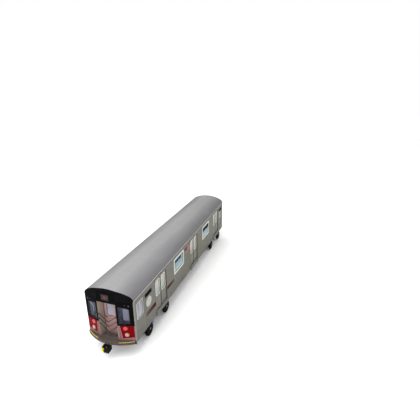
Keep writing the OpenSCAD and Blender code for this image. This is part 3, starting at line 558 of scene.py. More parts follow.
def side_glass_mat():
    """Pale blue in the large windows, lavender grey in the cab's, both a little see-through."""
    m = Mat("SideWindowGlass")
    x, y, z = m.xyz()
    n = m.noise(2.4, (1, 1, 1), 4)
    g = m.ramp(m.mth("ADD", m.ramp(z, 2.0, 2.9), m.mth("MULTIPLY", m.mth("SUBTRACT", n, 0.5), 0.7)), 0.2, 0.8)
    blue = m.mix(g, srgb(180, 200, 206), srgb(112, 150, 172))
    cab = m.mix(g, srgb(164, 164, 172), srgb(142, 142, 154))
    c = m.mix(m.more(x, 6.5), blue, cab)
    film = m.ramp(m.noise(6, (1, 1, 0.3), 5, 0.6, (9, 0, 2)), 0.45, 0.8, 0.0, 0.10)
    m.set(c, m.ramp(m.noise(18, (1, 1, 0.4), 5), 0.3, 0.75, 0.05, 0.16), 0.0, None, **{"Specular IOR Level": 0.6})
    clear = m.mth("MAXIMUM", m.both(m.more(x, -3.64), m.less(x, -2.32), m.more(z, 2.52), m.less(z, 2.79)), m.both(m.more(x, 1.80), m.less(x, 2.72), m.more(z, 2.64), m.less(z, 2.78)))
    a = m.mth("MINIMUM", m.mth("ADD", film, m.mth("ADD", 0.66, m.mth("MULTIPLY", m.more(x, 6.5), 0.2))), 1.0)
    m.put(m.b.inputs["Alpha"], m.mth("SUBTRACT", a, m.mth("MULTIPLY", clear, 0.60)))
    return m.m
set_mat("side_glass", side_glass_mat())

# ------------------------------------------------------------------ side plates
def splate(bag, s, outer, holes=(), y=HW, **k):
    f = lambda P: [(-s * a, b) for a, b in P]
    plate(bag, f(outer), [f(h) for h in holes], (0, s * y, 0), (-s, 0, 0), (0, 0, 1), **k)

cream, gasket, trim, seam, disc, red_b, rail = (Bag(n, m) for n, m in (("window_frames", M_CREAM), ("window_gaskets", M_GASKET), ("bright_trim", M_TRIM), ("seam_strips", M_SEAM), ("side_discs", M_DISC), ("side_small_red", M_RED), ("drip_rails", M_RAIL)))
rivets = Bag("rivets", M_SEAM, angle=50)
for s in (1, -1):
    for xc, hw, z0, z1 in WINS:
        o = rr(xc - hw - 0.022, xc + hw + 0.022, z0 - 0.022, z1 + 0.022, 0.085)
        h = rr(xc - hw + 0.08, xc + hw - 0.08, z0 + 0.08, z1 - 0.08, 0.05)
        splate(cream, s, o, [h], base=-0.012, t=0.021, bev=0.006)
        h2 = rr(xc - hw + 0.092, xc + hw - 0.092, z0 + 0.092, z1 - 0.092, 0.045)
        splate(gasket, s, rr(xc - hw + 0.079, xc + hw - 0.079, z0 + 0.079, z1 - 0.079, 0.05), [h2], base=-0.012, t=0.010, bev=0.004)
        splate(trim, s, rr(xc - hw - 0.036, xc + hw + 0.036, z0 - 0.036, z1 + 0.036, 0.095), [rr(xc - hw - 0.023, xc + hw + 0.023, z0 - 0.023, z1 + 0.023, 0.086)], t=0.004, bev=0.0015)
        # inner frame
        splate(cream, s, rr(xc - hw - 0.02, xc + hw + 0.02, z0 - 0.02, z1 + 0.02, 0.08), [rr(xc - hw + 0.03, xc + hw - 0.03, z0 + 0.03, z1 - 0.03, 0.05)], y=1.210, base=-0.008, t=0.008, bev=0)
    for xc, hw, z0, z1 in SMALL:
        o = rr(xc - hw - 0.012, xc + hw + 0.012, z0 - 0.012, z1 + 0.012, 0.08)
        h = rr(xc - hw + 0.022, xc + hw - 0.022, z0 + 0.022, z1 - 0.022, 0.055)
        splate(trim if xc > 0 else cream, s, o, [h], base=-0.012, t=0.017, bev=0.004)
        splate(gasket, s, rr(xc - hw + 0.021, xc + hw - 0.021, z0 + 0.021, z1 - 0.021, 0.055), [rr(xc - hw + 0.032, xc + hw - 0.032, z0 + 0.032, z1 - 0.032, 0.05)], base=-0.012, t=0.009, bev=0.003)
    # sliding sash bar in the cab side window
    box(trim, 6.935, 6.955, *sorted((s * 1.296, s * 1.306)), 2.03, 2.86, 0.003)
    # destination sign bezels
    for x0, x1, z0, z1 in ((5.75, 6.40, 2.69, 2.87), (-7.14, -6.55, 2.70, 2.88)):
        splate(gasket, s, rr(x0 - 0.02, x1 + 0.02, z0 - 0.02, z1 + 0.02, 0.02), [rr(x0 + 0.012, x1 - 0.012, z0 + 0.012, z1 - 0.012, 0.01)], t=0.014, bev=0.004)
    # pale disc
    splate(disc, s, circ(6.06, 2.28, 0.278, 56), t=0.0035, bev=0.0015)
    # drip rail, and the sill's lower edge
    for x0, x1 in ((-7.50, -3.0), (-3.0, 1.6), (1.6, 7.47)):
        V = []
        prof = [(1.3095, 3.178), (1.322, 3.178), (1.330, 3.186), (1.330, 3.206), (1.324, 3.209), (1.322, 3.196), (1.3095, 3.194)]
        for x in (x0 + 0.002, x1 - 0.002): V += [(x, s * a, b) for a, b in prof]
        n = len(prof); F = [(i, (i + 1) % n, n + (i + 1) % n, n + i) for i in range(n)] + [tuple(range(n))[::-1], tuple(range(n, 2 * n))]
        rail.add(V, F if s > 0 else [f[::-1] for f in F])
    for a, b in ((-7.39, DOOR_X[2] - 0.71), (DOOR_X[2] + 0.71, DOOR_X[1] - 0.71), (DOOR_X[1] + 0.71, DOOR_X[0] - 0.71), (DOOR_X[0] + 0.71, 7.39)):
        box(seam, a, b, *sorted((s * 1.3095, s * 1.3155)), 0.872, 0.905, 0.002)
        box(seam, a, b, *sorted((s * 1.3095, s * 1.3135)), 1.088, 1.112, 0.0015)
    # vertical joints with rows of rivets
    joints = [7.36, 6.55, 5.56, 3.06, 1.30, 0.80, -1.70, -2.12, -3.80, -4.42, -6.47, -7.36]
    # a joint stops short of a painted stripe or the striped panel
    gaps = {0.80: (2.485, 2.895), 5.56: (1.53, 1.80), 3.06: (1.57, 1.80)}
    for x in joints:
        g0, g1 = gaps.get(x, (3.176, 3.176))
        for z0, z1 in ((0.907, g0), (g1, 3.176)):
            if z1 - z0 > 0.01: box(seam, x - 0.022, x + 0.022, *sorted((s * 1.3095, s * 1.3122)), z0, z1, 0.001)
        if not any(abs(x - d) < 0.72 for d in DOOR_X):
            for side in (-0.013, 0.013):
                z = 0.945
                while z < 3.16:
                    if not g0 - 0.008 < z < g1 + 0.008: rivet(rivets, (x + side, s * 1.3121, z), (0, s, 0), 0.0055, 0.0028)
                    z += 0.095
    # door surround
    for xd in DOOR_X:
        for sx in (1, -1):
            box(seam, *sorted((xd + sx * 0.687, xd + sx * 0.722)), *sorted((s * 1.3095, s * 1.316)), 1.08, 3.01, 0.003)
            box(seam, *sorted((xd + sx * 0.6815, xd + sx * 0.6885)), *sorted((s * 1.281, s * 1.309)), 1.10, 2.968, 0.002)
        box(seam, xd - 0.722, xd + 0.722, *sorted((s * 1.3095, s * 1.316)), 2.972, 3.01, 0.003)
        box(trim, xd - 0.70, xd + 0.70, *sorted((s * 1.312, s * 1.334)), 3.036, 3.05, 0.003)
        # tread plate on the step, with ribs
        box(trim, xd - 0.682, xd + 0.682, *sorted((s * 1.214, s * 1.330)), 1.0785, 1.0835, 0.0015)
        for k in range(7):
            yy = 1.226 + 0.0165 * k
            if 1.232 < yy < 1.276: continue
            box(trim, xd - 0.675, xd + 0.675, *sorted((s * (yy - 0.0035), s * (yy + 0.0035))), 1.083, 1.0872, 0.0012)
        # door lamp above the doorway
        splate(gasket, s, rr(xd - 0.05, xd + 0.05, 3.075, 3.115, 0.015), t=0.010, bev=0.003)
        splate(red_b, s, rr(xd - 0.035, xd + 0.035, 3.084, 3.106, 0.010), y=HW + 0.010, t=0.006, bev=0.003)
def stripes_decal():
    m = Mat("StripedDecal")
    x, y, z = m.xyz(); ay = m.mth("ABSOLUTE", y)
    band = m.more(m.mth("FRACT", m.mth("MULTIPLY", m.mth("SUBTRACT", z, 2.50), 9.21)), 0.5)
    c = m.mix(band, srgb(168, 62, 64), srgb(164, 122, 116))
    cant = m.both(m.more(x, 0.74), m.more(z, 2.66))
    # the blue field lies at the forward end on the left, as on the right
    c = m.mix(m.ramp(m.noise(5, (1, 1, 1), 5), 0.35, 0.75, 0.0, 0.45), c, srgb(126, 120, 112))
    c = m.mix(m.mth("MULTIPLY", cant, 0.9), c, srgb(34, 32, 84))
    return m.set(c, 0.45, 0.1, m.bump(m.noise(200, (1, 1, 1), 2), 0.0002))
decal = Bag("striped_decals", stripes_decal())
for s in (1, -1): splate(decal, s, rr(0.34, 1.19, 2.50, 2.88, 0.012), t=0.0016, bev=0.0006)
for b in (cream, gasket, trim, seam, disc, red_b, rail, rivets, decal): b.done()

# ------------------------------------------------------------------ door leaves
for s, sd in ((1, "left"), (-1, "right")):
    for k, xd in enumerate(DOOR_X):
        for w, d in (("front", 1), ("rear", -1)):
            body = "door_%s_%d_%s_leaf" % (sd, k + 1, w)
            nm = "leaf_%s_%d_%s" % (sd, k + 1, w)
            X0, X1 = sorted((xd + d * 0.09, xd + d * 0.56))
            fr, gl, rb, st = Bag(nm + "_frame", M_CREAM, body), Bag(nm + "_glass", M_DOORGL, body), Bag(nm + "_rubber", M_GASKET, body), Bag(nm + "_trim", M_SEAM, body)
            splate(fr, s, rr(X0 - 0.028, X1 + 0.028, 1.952, 2.898, 0.12), [rr(X0 + 0.030, X1 - 0.030, 2.010, 2.840, 0.075)], y=LEAF_Y, base=0.004, t=0.018, bev=0.004)
            splate(fr, s, rr(X0 - 0.02, X1 + 0.02, 1.96, 2.89, 0.11), [rr(X0 + 0.022, X1 - 0.022, 2.002, 2.848, 0.08)], y=LEAF_Y - 0.0215, base=0.0, t=0.012, bev=0.0)
            splate(rb, s, rr(X0 + 0.029, X1 - 0.029, 2.009, 2.841, 0.075), [rr(X0 + 0.040, X1 - 0.040, 2.020, 2.830, 0.07)], y=LEAF_Y, base=-0.006, t=0.022, bev=0.004)
            splate(gl, s, rr(X0 + 0.001, X1 - 0.001, 1.981, 2.869, 0.099), y=LEAF_Y, base=-0.003, t=0.006, bev=0.001)
            xa, xb = sorted((xd + d * 0.0012, xd + d * 0.040))
            box(rb, xa, xb, *sorted((s * (LEAF_Y - 0.0205), s * (LEAF_Y + 0.0205))), 1.101, 2.979, 0.004)
            # pressed lower panel, kick plate and a small dark pull
            Xa, Xb = sorted((xd + d * 0.075, xd + d * 0.60))
            splate(st, s, rr(Xa, Xb, 1.30, 1.86, 0.03), [rr(Xa + 0.014, Xb - 0.014, 1.314, 1.846, 0.02)], y=LEAF_Y + 0.018, t=0.0028, bev=0.0012)
            splate(st, s, rr(Xa, Xb, 1.125, 1.25, 0.01), y=LEAF_Y + 0.018, t=0.002, bev=0.0008)
            splate(rb, s, rr(*sorted((xd + d * 0.048, xd + d * 0.070)), 1.98, 2.16, 0.01), y=LEAF_Y + 0.018, t=0.003, bev=0.001)
            for b in (fr, gl, rb, st): b.done()

# ------------------------------------------------------------------ front
SL = 0.9637
def U(s, ya): return s * (ya - NY) / SL
def fplate(bag, s, outer, holes=(), **k):
    """A plate on the sloping side of the nose; its outline is in (distance from the middle, height)."""
    f = lambda P: [(U(s, a), b) for a, b in P]
    plate(bag, f(outer), [f(h) for h in holes], (NX, s * NY, 0), (-s * 0.267, SL, 0), (0, 0, 1), **k)
def fpt(s, ya, z, h=0.0):
    return Vector((NX - (ya - NY) * 0.2771 + 0.9637 * h, s * (ya + 0.267 * h), z))
def fn_(s): return Vector((0.9637, s * 0.267, 0))
def annulus(bag, prof, o, axis, n=28):
    """Turns a closed profile about an axis."""
    o, az = Vector(o), Vector(axis).normalized(); ax = az.orthogonal().normalized(); ay = az.cross(ax)
    V, F, m = [], [], len(prof)
    for r, h in prof:
        for i in range(n):
            t = 2 * math.pi * i / n; V.append(o + az * h + (ax * math.cos(t) + ay * math.sin(t)) * r)
    for k in range(m):
        for i in range(n):
            j = (i + 1) % n; F.append((k * n + i, k * n + j, ((k + 1) % m) * n + j, ((k + 1) % m) * n + i))
    bag.add(V, F)
SCREEN = [(0.61, 1.985), (1.10, 2.015), (1.10, 2.78), (1.02, 2.825), (0.61, 2.90)]
def rpoly(P, r, n=4):
    """Rounds the corners of an outline."""
    Q = []
    for i in range(len(P)):
        a, b, c = Vector(P[i - 1]), Vector(P[i]), Vector(P[(i + 1) % len(P)])
        u, v = (a - b).normalized(), (c - b).normalized(); d = min(r, (a - b).length * 0.45, (c - b).length * 0.45)
        for k in range(n + 1):
            t = k / n; q = (b + u * d) * (1 - t) ** 2 + b * 2 * t * (1 - t) + (b + v * d) * t * t; Q.append((q.x, q.y))
    return Q

mask, fgas, red, pink, ring, ringr, lred, lwhite, wip, yel, guard, fblk, mark = (Bag(n, m) for n, m in (("mask_panels", M_BLACK), ("windscreen_gaskets", M_GASKET),
    ("red_panels", M_RED), ("front_trim", M_TRIM_PINK_REFLECTION), ("lamp_rings", M_TRIM_PINK_REFLECTION), ("lamp_rings_red", M_RINGR), ("lamp_lens_red", M_LRED), ("lamp_lens_white", M_LWHITE), ("wipers", M_RUB), ("edge_strips", M_YEL), ("guard_bars", M_GASKET), ("front_fittings", M_COUP), ("marker_lenses", M_SMOKE)))
for s in (1, -1):
    hole = inset(SCREEN, -0.004)
    fplate(mask, s, rpoly([(0.512, 1.872), (1.298, 1.872), (1.298, 3.09), (1.24, 3.15), (0.512, 3.15)], 0.05), [rpoly(hole, 0.02)], t=0.005, bev=0.002)
    fplate(fgas, s, rpoly(inset(SCREEN, -0.020), 0.03), [rpoly(inset(SCREEN, 0.014), 0.03)], base=-0.012, t=0.021, bev=0.006)
    P = [(0.618, 1.866), (1.272, 1.866), (1.272, 1.215), (0.715, 1.135)]
    ch = lambda ya, z, r: [(ya + SL * r * math.cos(2 * math.pi * i / 32), z + r * math.sin(2 * math.pi * i / 32)) for i in range(32)]
    fplate(red, s, rpoly(P, 0.012), [ch(0.87, 1.72, 0.099), ch(0.92, 1.36, 0.104)], t=0.007, bev=0.004)
    for a, b in (((0.612, 1.866), (0.710, 1.129)), ((0.710, 1.129), (1.278, 1.209))):
        a, b = Vector((a[0], a[1])), Vector((b[0], b[1])); e = (b - a).normalized(); nn = Vector((-1, 0)) if e.y < -0.5 else Vector((0, -1))
        fplate(pink, s, [tuple(a), tuple(b), tuple(b + nn * 0.024), tuple(a + nn * 0.024)], t=0.0055, bev=0.002)
    # raised bevelled ridge inside the red panel, as a thin frame
    q = P if area2(P) > 0 else P[::-1]
    fplate(red, s, rpoly(inset(q, 0.020), 0.03), [rpoly(inset(q, 0.038), 0.025)], base=0.006, t=0.005, bev=0.003)
    for ya, z, r, lens in ((0.87, 1.72, 0.095, lred), (0.92, 1.36, 0.100, lwhite)):
        o = fpt(s, ya, z)
        rg_ = ringr if lens is lred else ring
        annulus(rg_, [(r + 0.001, 0.0055), (r + 0.016, 0.0055), (r + 0.017, 0.012), (r + 0.010, 0.026), (r + 0.003, 0.040), (r - 0.010, 0.042), (r - 0.014, 0.034), (r + 0.001, 0.031)], o, fn_(s), 40)
        lathe(lens, [(r - 0.011, 0.0315), (r - 0.012, 0.036), (r * 0.72, 0.044), (r * 0.40, 0.049), (r * 0.12, 0.051)], o, fn_(s), 36)
        for k in range(6):
            a = math.pi * k / 3 + 0.3
            w = Vector((-s * 0.267, SL, 0)); c = o + w * math.cos(a) * (r + 0.010) + Vector((0, 0, 1)) * math.sin(a) * (r + 0.010)
            rivet(rg_, c + fn_(s) * 0.026, fn_(s), 0.005, 0.003)
    # edge strip beside the recess, and a belt joint under the mask
    fplate(pink, s, [(0.504, 1.095), (0.530, 1.095), (0.530, 1.866), (0.504, 1.866)], t=0.005, bev=0.002)
    fplate(pink, s, [(0.535, 1.085), (1.300, 1.085), (1.300, 1.103), (0.535, 1.103)], t=0.005, bev=0.002)
    ya = 0.56
    while ya < 1.29:
        for z in (1.062, 0.905): rivet(pink, fpt(s, ya, z), fn_(s), 0.0065, 0.003)
        ya += 0.062
    z = 1.13
    while z < 1.85:
        for ya in (0.570, 1.288): rivet(pink, fpt(s, ya, z), fn_(s), 0.0055, 0.003)
        z += 0.07
    # upright hand rail beside the recess
    tube(ring, bend([fpt(s, 0.590, 1.30), fpt(s, 0.590, 1.30, 0.045), fpt(s, 0.590, 1.80, 0.045), fpt(s, 0.590, 1.80)], 0.03), 0.0095, 12)
    for z in (1.30, 1.80): lathe(ring, [(0.024, 0.0), (0.024, 0.004), (0.016, 0.009)], fpt(s, 0.590, z), fn_(s), 16)
    # wiper: boss, arm and blade lying just ahead of the glass
    o = fpt(s, 0.86, 1.945)
    lathe(wip, [(0.028, 0.004), (0.028, 0.016), (0.020, 0.022), (0.014, 0.034), (0.010, 0.038)], o, fn_(s), 18)
    tube(wip, bend([fpt(s, 0.86, 1.945, 0.026), fpt(s, 0.80, 2.02, 0.022), fpt(s, 0.735, 2.30, -0.004), fpt(s, 0.73, 2.36, -0.008)], 0.04), 0.0065, 8)
    tube(wip, [fpt(s, 0.875, 1.95, 0.020), fpt(s, 0.765, 2.20, 0.002)], 0.004, 6)
    w = Vector((-s * 0.267, SL, 0))
    obox(wip, fpt(s, 0.735, 2.36, -0.011), w, (0, 0, 1), fn_(s), 0.012, 0.50, 0.008, 0.003)
    obox(wip, fpt(s, 0.735, 2.36, -0.0155), w, (0, 0, 1), fn_(s), 0.005, 0.50, 0.005, 0.0015)
    # marker lamps over the windscreens and a small lens beside the sign
    for ya, z, r in ((1.10, 2.985, 0.036), (0.93, 3.02, 0.024)):
        o = fpt(s, ya, z)
        annulus(fblk, [(r, 0.004), (r + 0.012, 0.004), (r + 0.010, 0.014), (r + 0.002, 0.016), (r - 0.003, 0.010)], o, fn_(s), 28)
        lathe(mark, [(r + 0.0005, 0.004), (r - 0.002, 0.010), (r * 0.6, 0.017), (r * 0.2, 0.020)], o, fn_(s), 24)
# centre of the nose: header above the recess, sign bezel and disc
plate(mask, rpoly([(-0.475, 3.045), (0.475, 3.045), (0.475, 3.55), (0.40, 3.60), (-0.40, 3.60), (-0.475, 3.55)], 0.03), [rr(-0.204, 0.204, 3.186, 3.504, 0.012)], (NX, 0, 0), (0, 1, 0), (0, 0, 1), t=0.005, bev=0.002)
plate(fblk, rr(-0.232, 0.232, 3.158, 3.532, 0.03), [rr(-0.190, 0.190, 3.200, 3.490, 0.014)], (NX + 0.0245, 0, 0), (0, 1, 0), (0, 0, 1), t=0.008, bev=0.003)
plate(fblk, rr(-0.232, 0.232, 3.158, 3.532, 0.03), [rr(-0.2005, 0.2005, 3.1895, 3.5005, 0.006)], (NX + 0.005, 0, 0), (0, 1, 0), (0, 0, 1), t=0.020, bev=0.002)
signd = Bag("sign_disc", paint("DiscRed", srgb(112, 0, 22), 0.5, 0.1, scale=9))
lathe(signd, [(0.084, 0.0), (0.084, 0.002), (0.082, 0.003)], (NX + 0.025, 0, 3.34), (1, 0, 0), 48)
signd.done()
signf = Bag("sign_field", paint("SignField", srgb(27, 19, 25), 0.34, 0.12, scale=8))
plate(signf, rr(-0.189, 0.189, 3.201, 3.489, 0.012), (), (NX + 0.0248, 0, 0), (0, 1, 0), (0, 0, 1), t=0.0008)
signf.done()
# recess: hand rails and a tread plate on its floor
for s in (1, -1):
    a = Vector((7.475, s * 0.3735, 0)); b = Vector((7.742, s * 0.4965, 0)); dv = (b - a).normalized()
    # inner hand rail in the recess
    k0 = a + dv * (b - a).length * 0.5
    off = Vector((0, -s, 0))
    tube(ring, bend([k0 + Vector((0, 0, 1.35)), k0 + off * 0.045 + Vector((0, 0, 1.35)), k0 + off * 0.045 + Vector((0, 0, 1.95)), k0 + Vector((0, 0, 1.95))], 0.03), 0.009, 10)
    for z in (1.35, 1.95): lathe(ring, [(0.022, -0.002), (0.022, 0.004), (0.015, 0.008)], k0 + Vector((0, 0, z)), off, 14)
V = [(7.474, -0.368), (7.742, -0.492), (7.742, 0.492), (7.474, 0.368)]
treadp = Bag("recess_tread", M_BUMP)
plate(treadp, V, (), (0, 0, 1.0755), (1, 0, 0), (0, 1, 0), t=0.006, bev=0.002)
for k in range(6):
    xx = 7.50 + 0.040 * k; hh = 0.355 + 0.4645 * (xx - 7.47)
    box(treadp, xx - 0.006, xx + 0.006, -hh, hh, 1.081, 1.0855, 0.002)
treadp.done()
# three rubber-sleeved guard bars across the recess, in brackets on its jambs
for za, zb in ((2.31, 1.95), (2.05, 1.69), (1.77, 1.37)):
    tube(guard, bend([(7.728, -0.462, za), (7.732, 0.0, zb), (7.728, 0.462, za)], 0.05, 8), 0.0145, 14)
    for s in (1, -1):
        box(fblk, 7.712, 7.744, *sorted((s * 0.455, s * 0.4895)), za - 0.024, za + 0.030, 0.004)
        tube(guard, [(7.7285, s * 0.440, za - 0.0155), (7.7285, s * 0.457, za - 0.001)], 0.018, 12)
    lathe(guard, [(0.016, -0.020), (0.021, -0.014), (0.021, 0.014), (0.016, 0.020)], (7.732, 0, zb + 0.012), (0, 1, 0), 16)
# anticlimber: yellow strips on the outer top edge, bolts, and a pale lip below
AR = None
def edge(y):
    """How far forward the bumper reaches at y."""
    return EX(y)
xm, xe = 7.99, 7.535
bow = xm - xe; R_ = (1.345 ** 2 + bow ** 2) / (2 * bow)
def EX(y): return xm - R_ + math.sqrt(max(R_ * R_ - y * y, 0))
def arcstrip(bag, y0, y1, d0, d1, z0, z1, n=14):
    """A strip that follows the bumper's edge from y0 to y1, between insets d0 and d1."""
    V, F = [], []
    for i in range(n + 1):
        y = y0 + (y1 - y0) * i / n; e = EX(y); nx = math.sqrt(max(1 - (y / R_) ** 2, 0)); ny = y / R_
        for d, z in ((d0, z0), (d0, z1), (d1, z1), (d1, z0)): V.append((e - nx * d, y - ny * d, z))
    for i in range(n):
        for k in range(4):
            j = (k + 1) % 4; F.append((i * 4 + k, i * 4 + j, i * 4 + 4 + j, i * 4 + 4 + k))
    F.append((3, 2, 1, 0)); F.append(tuple(n * 4 + k for k in range(4)))
    bag.add(V, F)
for s in (1, -1):
    arcstrip(yel, s * 0.58, s * 1.28, 0.010, 0.046, 0.9951, 0.9985)
lip = Bag("bumper_lip", M_BUMP)
arcstrip(lip, -1.29, 1.29, 0.012, 0.10, 0.846, 0.8502, 30)
for k in range(15):
    y = -1.20 + 2.4 * k / 14; bolt(lip, (EX(y) - 0.105, y, 0.995), (0, 0, 1), 0.012, 0.009)
lip.done()
blip = Bag("bumper_front_lip", M_TRIM_PINK_REFLECTION)
arcstrip(blip, -1.24, 1.26, -0.0016, 0.002, 0.8525, 0.8700, 40)
blip.done()
bend_ = Bag("bumper_ends", M_RUB)
for s in (1, -1):
    arcstrip(bend_, s * 1.292, s * 1.337, -0.0030, 0.09, 0.846, 0.9985, 4)
bend_.done()
for b in (mask, fgas, red, pink, ring, ringr, lred, lwhite, wip, yel, guard, fblk, mark): b.done()

# ------------------------------------------------------------------ end doors
def end_door(nm, body, x, d):
    """Fittings of an end door; d is +1 where its outside faces forward."""
    fr, gl, bk, rb = Bag(nm + "_frame", M_TRIM_PINK_REFLECTION if d > 0 else M_TRIM, body), Bag(nm + "_glass", M_ENDGL if d > 0 else M_DOORGL, body), Bag(nm + "_handles", M_COUP, body), Bag(nm + "_rubber", M_GASKET, body)
    xo = x + d * 0.020; xi = x - d * 0.020
    o = rr(-0.255, 0.255, 2.05, 2.83, 0.07); h = rr(-0.208, 0.208, 2.097, 2.783, 0.04)
    ux = (0, d, 0)
    plate(fr, o, [h], (xo, 0, 0), ux, (0, 0, 1), base=-0.004, t=0.012, bev=0.004)
    plate(fr, o, [h], (xi, 0, 0), (0, -d, 0), (0, 0, 1), base=-0.004, t=0.010, bev=0.003)
    plate(rb, rr(-0.2085, 0.2085, 2.0965, 2.7835, 0.04), [rr(-0.198, 0.198, 2.107, 2.773, 0.035)], (x, 0, 0), ux, (0, 0, 1), base=-0.012, t=0.028, bev=0.004)
    plate(gl, rr(-0.224, 0.224, 2.081, 2.799, 0.049), (), (x, 0, 0), ux, (0, 0, 1), base=-0.003, t=0.006)
    for z0, z1 in ((1.16, 1.30), ):
        plate(fr, rr(-0.33, 0.33, z0, z1, 0.01), (), (xo, 0, 0), ux, (0, 0, 1), t=0.003, bev=0.001)
    plate(fr, rr(-0.30, 0.30, 1.40, 1.96, 0.03), [rr(-0.286, 0.286, 1.414, 1.946, 0.02)], (xo, 0, 0), ux, (0, 0, 1), t=0.003, bev=0.0012)
    for sx, dd in ((xo, d), (xi, -d)):
        lathe(bk, [(0.030, 0), (0.030, 0.005), (0.016, 0.008), (0.012, 0.024)], (sx, -0.305, 2.02), (dd, 0, 0), 18)
        tube(bk, bend([(sx + dd * 0.020, -0.305, 2.02), (sx + dd * 0.024, -0.235, 2.005), (sx + dd * 0.022, -0.21, 2.0)], 0.02), 0.0085, 10)
    for k in range(8):
        for y in (-0.32, 0.32): rivet(fr, (xo, y, 1.20 + 0.235 * k), (d, 0, 0), 0.006, 0.003)
    for b in (fr, gl, bk, rb): b.done()
end_door("cab_end_door", "cab_end_door", 7.426, 1)
end_door("inner_end_door", "inner_end_door", -7.44, -1)

# ------------------------------------------------------------------ couplers
cb = Bag("front_coupler_fittings", M_COUP, "coupler_arm"); cs = Bag("front_coupler_bright", M_CAP, "coupler_arm")
for y in (0.00, 0.135):
    for z in (0.575, 0.79): bolt(cb, (8.1995, y, z), (1, 0, 0), 0.013, 0.010)
annulus(cb, [(0.030, 0.0), (0.052, 0.0), (0.052, 0.006), (0.030, 0.006)], (8.2, 0.07, 0.68), (1, 0, 0), 24)
lathe(cb, [(0.029, -0.004), (0.029, 0.001), (0.010, 0.003)], (8.2, 0.07, 0.68), (1, 0, 0), 20)
for z in (0.8245,):
    for x in (7.95, 8.13):
        for y in (-0.12, 0.12): bolt(cb, (x, y, z), (0, 0, 1), 0.016, 0.012)
box(cb, 7.99, 8.09, -0.06, 0.06, 0.824, 0.839, 0.004)
lathe(cs, [(0.032, -0.002), (0.032, 0.014), (0.024, 0.022), (0.012, 0.024)], (8.150, 0.06, 0.825), (0, 0, 1), 24)
for s in (1, -1):
    for z in (0.60, 0.76): bolt(cb, (8.02, s * 0.1695, z), (0, s, 0), 0.016, 0.012); bolt(cb, (7.94, s * 0.1695, z), (0, s, 0), 0.013, 0.010)
    tube(cs, bend([(7.90, s * 0.115, 0.775), (7.80, s * 0.115, 0.775), (7.70, s * 0.085, 0.735), (7.30, s * 0.075, 0.735), (7.12, s * 0.075, 0.735)], 0.05), 0.012, 10)
for x in (7.25, 7.50, 7.78): annulus(cb, [(0.069, -0.018), (0.082, -0.018), (0.082, 0.018), (0.069, 0.018)], (x, 0, 0.68), (1, 0, 0), 28)
plate(cs, rr(-0.115, 0.115, 0.478, 0.536, 0.01), (), (8.1695, 0, 0), (0, 1, 0), (0, 0, 1), t=0.006, bev=0.002)
for k in range(9):
    for z in (0.495, 0.520): lathe(cb, [(0.006, 0), (0.006, 0.005), (0.003, 0.007)], (8.175, -0.096 + 0.024 * k, z), (1, 0, 0), 8)
cb.done(); cs.done()
rb_ = Bag("rear_drawbar_fittings", M_COUP, "drawbar_arm")
annulus(rb_, [(0.047, -0.02), (0.062, -0.02), (0.062, 0.02), (0.047, 0.02)], (-7.55, 0, 0.68), (1, 0, 0), 24)
annulus(rb_, [(0.047, -0.02), (0.062, -0.02), (0.062, 0.02), (0.047, 0.02)], (-7.95, 0, 0.68), (1, 0, 0), 24)
annulus(rb_, [(0.043, 0.0), (0.070, 0.0), (0.070, 0.006), (0.043, 0.006)], (-8.2, 0, 0.730), (0, 0, 1), 32)
for k in range(6):
    a = math.pi * k / 3; bolt(rb_, (-8.2 + 0.0785 * math.cos(a), 0.0785 * math.sin(a), 0.7295), (0, 0, 1), 0.0065, 0.006)
rb_.done()
